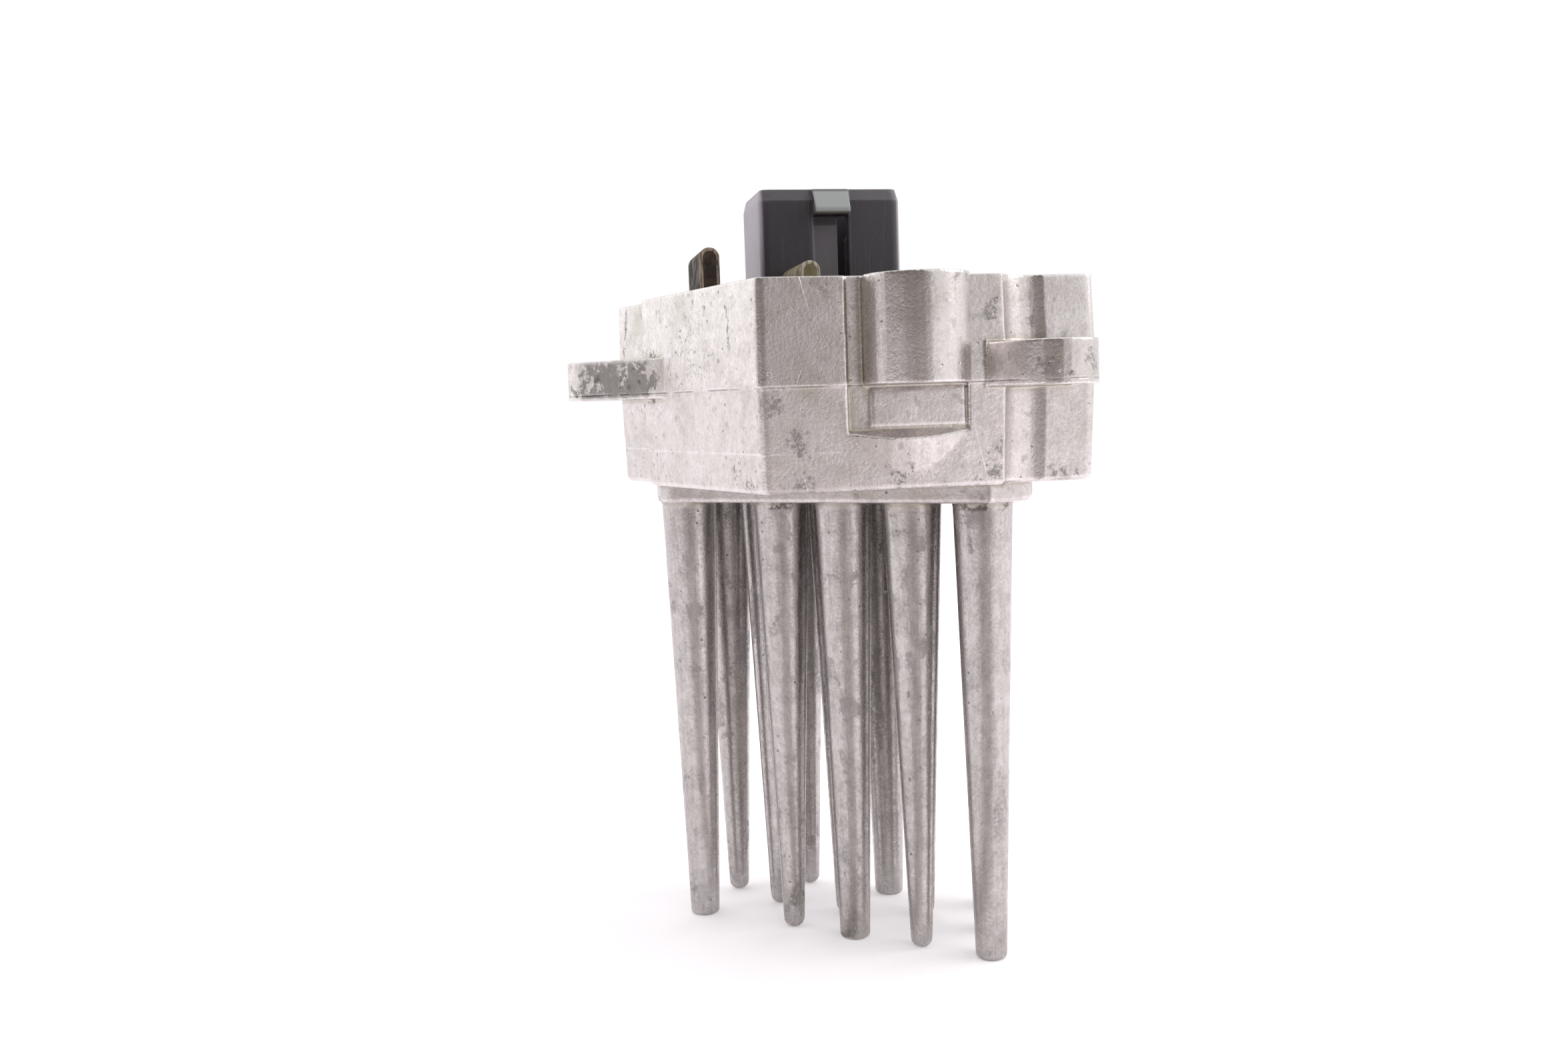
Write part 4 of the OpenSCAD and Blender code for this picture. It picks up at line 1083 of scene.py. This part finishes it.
@dataclass
class MotorBlades:
    """The two folded blades that the motor plug pushes onto, each with its end turned in."""

    left: Softened = field(default_factory=lambda: Softened("motor_blade_left", 0.1, 2, 40_000))
    right: Softened = field(default_factory=lambda: Softened("motor_blade_right", 0.1, 2, 40_000))
    gauge: float = 0.5
    rim: float = 0.26
    set_back: float = 0.03
    squareness: float = 0.72
    foot_z: float = 81.8
    arc_steps: int = 16

    def end(self, node: str, material: Material) -> Piece:
        """Make the turned-in end that closes a blade's fold at the front.

        Args:
            node: the blade's CAD node.
            material: the blade's finish.

        Returns:
            The finished piece.
        """
        low, high = (Vector(corner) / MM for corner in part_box(node))
        outer = (high.x - low.x) / 2
        inner = outer - self.rim
        middle = Vector((low.x + outer, low.y + self.set_back, high.z - outer))
        turns = [math.pi * k / self.arc_steps for k in range(self.arc_steps + 1)]
        rim = [(inner * math.copysign(abs(math.cos(t)) ** self.squareness, math.cos(t)),
                inner * abs(math.sin(t)) ** self.squareness) for t in turns]
        foot = self.foot_z - middle.z
        outline = [(inner, foot), *rim, (-inner, foot)]
        shape = bmesh.new()
        rings = [[shape.verts.new((middle + Vector((x, depth, z))) * MM) for x, z in outline]
                 for depth in (0.0, self.gauge)]
        shape.faces.new(rings[0])
        shape.faces.new(list(reversed(rings[1])))
        for k in range(len(outline)):
            after = (k + 1) % len(outline)
            shape.faces.new((rings[0][k], rings[1][k], rings[1][after], rings[0][after]))
        bmesh.ops.recalc_face_normals(shape, faces=shape.faces)
        mesh = bpy.data.meshes.new(node + "_end")
        shape.to_mesh(mesh)
        shape.free()
        piece = add_object(node + "_end", mesh)
        dress(piece, material, smooth=False)
        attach(piece, BODY)
        return piece

    def build(self, nodes: Nodes) -> list[Piece]:
        """Make both blades, of which the right one is less blackened.

        Args:
            nodes: the CAD nodes by name.

        Returns:
            The blades and their turned-in ends.
        """
        dark = TarnishedStrip().build()
        pale = TarnishedStrip(name="tinned_strip_right", bright=(0.74, 0.70, 0.60), brown=(0.34, 0.29, 0.18),
                              black=(0.20, 0.165, 0.09)).build()
        return [self.left.build(nodes, dark, "tinned_strip"), self.end(self.left.node, dark),
                self.right.build(nodes, pale, "tinned_strip"), self.end(self.right.node, pale)]


@dataclass
class ConnectorLid:
    """The moulded lid with its connector shroud, and the bead that seals it."""

    lid: Softened = field(default_factory=lambda: Softened("lid", 0.14, 2, 150_000))
    bead: Softened = field(default_factory=lambda: Softened("sealing_bead", 0.16, 5, 80_000))
    mouth_z: float = 103.5
    mouth_rim: float = 0.1
    mouth_x: float = 4.54
    mouth_spread: float = 1.06

    def steepen_mouth(self, mesh: Mesh) -> None:
        """Widen the rim of the connector, so that the bevel is narrower at its sides than at its front.

        Args:
            mesh: the merged lid.
        """
        for vertex in mesh.vertices:
            if vertex.co.z > (self.mouth_z - self.mouth_rim) * MM:
                vertex.co.x = self.mouth_x * MM + (vertex.co.x - self.mouth_x * MM) * self.mouth_spread

    def build(self, nodes: Nodes) -> list[Piece]:
        """Make the lid and the bead."""
        return [self.lid.build(nodes, BlackMoulding().build(), "black_moulding", self.steepen_mouth),
                self.bead.build(nodes, SealSilicone().build(), "seal_silicone")]


@dataclass
class InnerParts:
    """CAD nodes that keep their shape and get a finish of their own by material slot."""

    finishes: tuple[BareMetal | MouldedResin | BoardLaminate, ...] = (
        MouldedResin("thermal_pad", (0.52, 0.50, 0.46), (0.66, 0.64, 0.6), 0.6),
        MouldedResin("transistor_epoxy", (0.018, 0.018, 0.02), (0.04, 0.04, 0.042), 0.4, 0.12),
        BareMetal("tinned_lead", (0.72, 0.71, 0.69), (0.45, 0.44, 0.42)),
        BareMetal("spring_steel", (0.45, 0.45, 0.47), (0.25, 0.24, 0.24), 0.3, (0.1, 1.0, 1.0)),
        BareMetal("screw_steel", (0.6, 0.59, 0.56), (0.38, 0.36, 0.31)),
        BoardLaminate(),
        BareMetal("capacitor_aluminium", (0.76, 0.76, 0.77), (0.55, 0.55, 0.56), 0.28),
        MouldedResin("capacitor_rubber", (0.02, 0.02, 0.02), (0.045, 0.045, 0.045), 0.7),
        MouldedResin("chip_plastic", (0.02, 0.02, 0.022), (0.05, 0.05, 0.054), 0.5, 0.1),
        BareMetal("shunt_alloy", (0.6, 0.42, 0.3), (0.36, 0.23, 0.15), 0.38, (0.1, 1.0, 1.0)),
        MouldedResin("ceramic", (0.36, 0.28, 0.19), (0.5, 0.41, 0.3), 0.5, 0.08),
    )
    control_pin: BareMetal = BareMetal("tinned_pin", (0.62, 0.60, 0.56), (0.36, 0.33, 0.28), 0.3)
    control_pin_slot: str = "tinned_strip"

    def dress(self, frame: dict[str, Any]) -> list[str]:
        """Give each node that still shows its finish.

        Args:
            frame: the loaded frame.

        Returns:
            The names of the dressed nodes.
        """
        made = {finish.name: finish.build() for finish in self.finishes}
        made[self.control_pin_slot] = self.control_pin.build()
        dressed = []
        for row in frame["record"]["subparts"]:
            node = frame["nodes"][row["node"]]
            if not node.hide_render and row["material_slot"] in made:
                dress(node, made[row["material_slot"]], smooth=False)
                dressed.append(row["node"])
        return dressed


@dataclass(frozen=True)
class Softbox:
    """One soft square lamp, in metres and watts."""

    name: str
    place: Place
    size: float
    power: float
    colour: Colour

    def build(self, aim: Place) -> None:
        """Hang the lamp.

        Args:
            aim: the point it faces, in metres.
        """
        data = bpy.data.lights.new(self.name, "AREA")
        data.size = self.size
        data.energy = self.power
        data.color = self.colour
        lamp = add_object(self.name, data)
        lamp.location = self.place
        lamp.rotation_euler = (Vector(aim) - Vector(self.place)).to_track_quat("-Z", "Y").to_euler()


@dataclass
class Studio:
    """Camera, soft light, pale floor and white background, with the floor, aim and near limit in metres."""

    camera_mm: Place = (-39.11, -176.07, 74.4)
    heading: float = 10.9
    pitch: float = 5.27
    roll: float = 1.93
    lens: float = 30.61
    sensor: float = 36.0
    near_limit: float = 0.005
    floor_size: float = 6.0
    floor_colour: Colour = (0.945, 0.90, 0.93)
    floor_patch: Colour = (0.95, 0.94, 0.945)
    floor_grain: float = 60.0
    sweep: Colour = (1.0, 0.985, 1.0)
    room: Colour = (0.20, 0.175, 0.16)
    room_axis: Place = (-0.5807, -0.8141, 0.0)
    room_edge: Pair = (0.515, 0.669)
    front_shade: Colour = (0.70, 0.665, 0.65)
    front_axis: Place = (-0.174, -0.985, 0.0)
    front_edge: Pair = (0.83, 0.95)
    glow: float = 0.30
    aim: Place = (0.0, 0.0, 0.06)
    lamps: tuple[Softbox, ...] = (
        Softbox("right_softbox", (0.42, -0.12, 0.34), 0.35, 0.95, (1.0, 0.985, 0.97)),
        Softbox("left_softbox", (-0.36, 0.32, 0.26), 0.4, 0.17, (1.0, 0.98, 1.0)),
    )

    def camera(self) -> None:
        """Place the camera at the photograph's viewpoint."""
        data = bpy.data.cameras.new("camera")
        data.sensor_fit = "HORIZONTAL"
        data.sensor_width = self.sensor
        data.lens = self.lens
        data.clip_start = self.near_limit
        heading, pitch, roll = (math.radians(a) for a in (self.heading, self.pitch, self.roll))
        forward = Vector((math.sin(heading) * math.cos(pitch), math.cos(heading) * math.cos(pitch),
                          -math.sin(pitch)))
        level = Vector((math.cos(heading), -math.sin(heading), 0.0))
        upright = level.cross(forward)
        right = level * math.cos(roll) - upright * math.sin(roll)
        up = level * math.sin(roll) + upright * math.cos(roll)
        place = Matrix((right, up, -forward)).transposed().to_4x4()
        place.translation = Vector(self.camera_mm) * MM
        camera = add_object("camera", data)
        camera.matrix_world = place
        bpy.context.scene.camera = camera

    def world(self) -> None:
        """Make a white sweep round the object, open to a dim room at its front left."""
        world = bpy.data.worlds.new("studio")
        bpy.context.scene.world = world
        world.use_nodes = True
        g = Graph(world.node_tree)
        g.tree.nodes.clear()
        way = g.node("ShaderNodeTexCoord", out="Generated")
        behind = 1 - g.near(way, self.room_axis, self.room_edge)
        light = g.mix(behind, self.room, self.sweep)
        seen = (g.ray("Camera") + g.ray("Transmission") + g.ray("Glossy") * behind).clamp()
        back = g.node("ShaderNodeBackground", None, {"Color": g.mix(seen, light, WHITE), "Strength": 1.0})
        g.node("ShaderNodeOutputWorld", None, {"Surface": back})

    def floor(self) -> None:
        """Lay the pale floor that takes the object's shadow."""
        half = self.floor_size / 2
        corners = [(-half, -half, 0), (half, -half, 0), (half, half, 0), (-half, half, 0)]
        mesh = bpy.data.meshes.new("floor")
        mesh.from_pydata(corners, [], [(0, 1, 2, 3)])
        floor = add_object("floor", mesh)
        s = Shader("pale_floor")
        tone = s.noise(self.floor_grain, 3.0).step(0.3, 0.7)
        glossy = s.ray("Glossy")
        way = s.node("ShaderNodeVectorMath", {"operation": "NORMALIZE"}, {0: s.at}, "Vector")
        shade = s.near(way, self.front_axis, self.front_edge) * glossy
        seen = (s.ray("Camera") + s.ray("Transmission") + glossy * (1 - shade)).clamp()
        pale = s.mix(0.3 * tone, self.floor_colour, self.floor_patch)
        matt = s.node("ShaderNodeBsdfDiffuse", None, {"Color": s.mix(shade, pale, self.front_shade)})
        glow = s.node("ShaderNodeEmission", None, {"Color": WHITE, "Strength": self.glow * seen})
        both = s.node("ShaderNodeAddShader", None, {0: matt, 1: glow})
        s.node("ShaderNodeOutputMaterial", None, {"Surface": both})
        mesh.materials.append(s.material)

    def build(self) -> None:
        """Set up the whole studio."""
        bpy.context.scene.view_settings.view_transform = "Standard"
        self.camera()
        self.world()
        self.floor()
        for lamp in self.lamps:
            lamp.build(self.aim)


def main() -> None:
    """Load the frame, build each sub-assembly in order and report it."""
    logging.basicConfig(level=logging.INFO, format="%(message)s")
    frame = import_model()
    nodes = frame["nodes"]
    Studio().build()
    pins = CoolingPins()
    tree = pins.tree()
    drawn = PIN_METAL.build()
    made = [pins.build(tip, tree, drawn) for tip in PinTip]
    made.append(CastTray().build(nodes, TRAY_METAL.build()))
    made += ConnectorLid().build(nodes)
    made += MotorBlades().build(nodes)
    for piece in made:
        LOG.info("%s: %d faces", piece.name, len(piece.data.polygons))
    LOG.info("dressed: %s", ", ".join(InnerParts().dress(frame)))


if __name__ == "__main__":
    main()
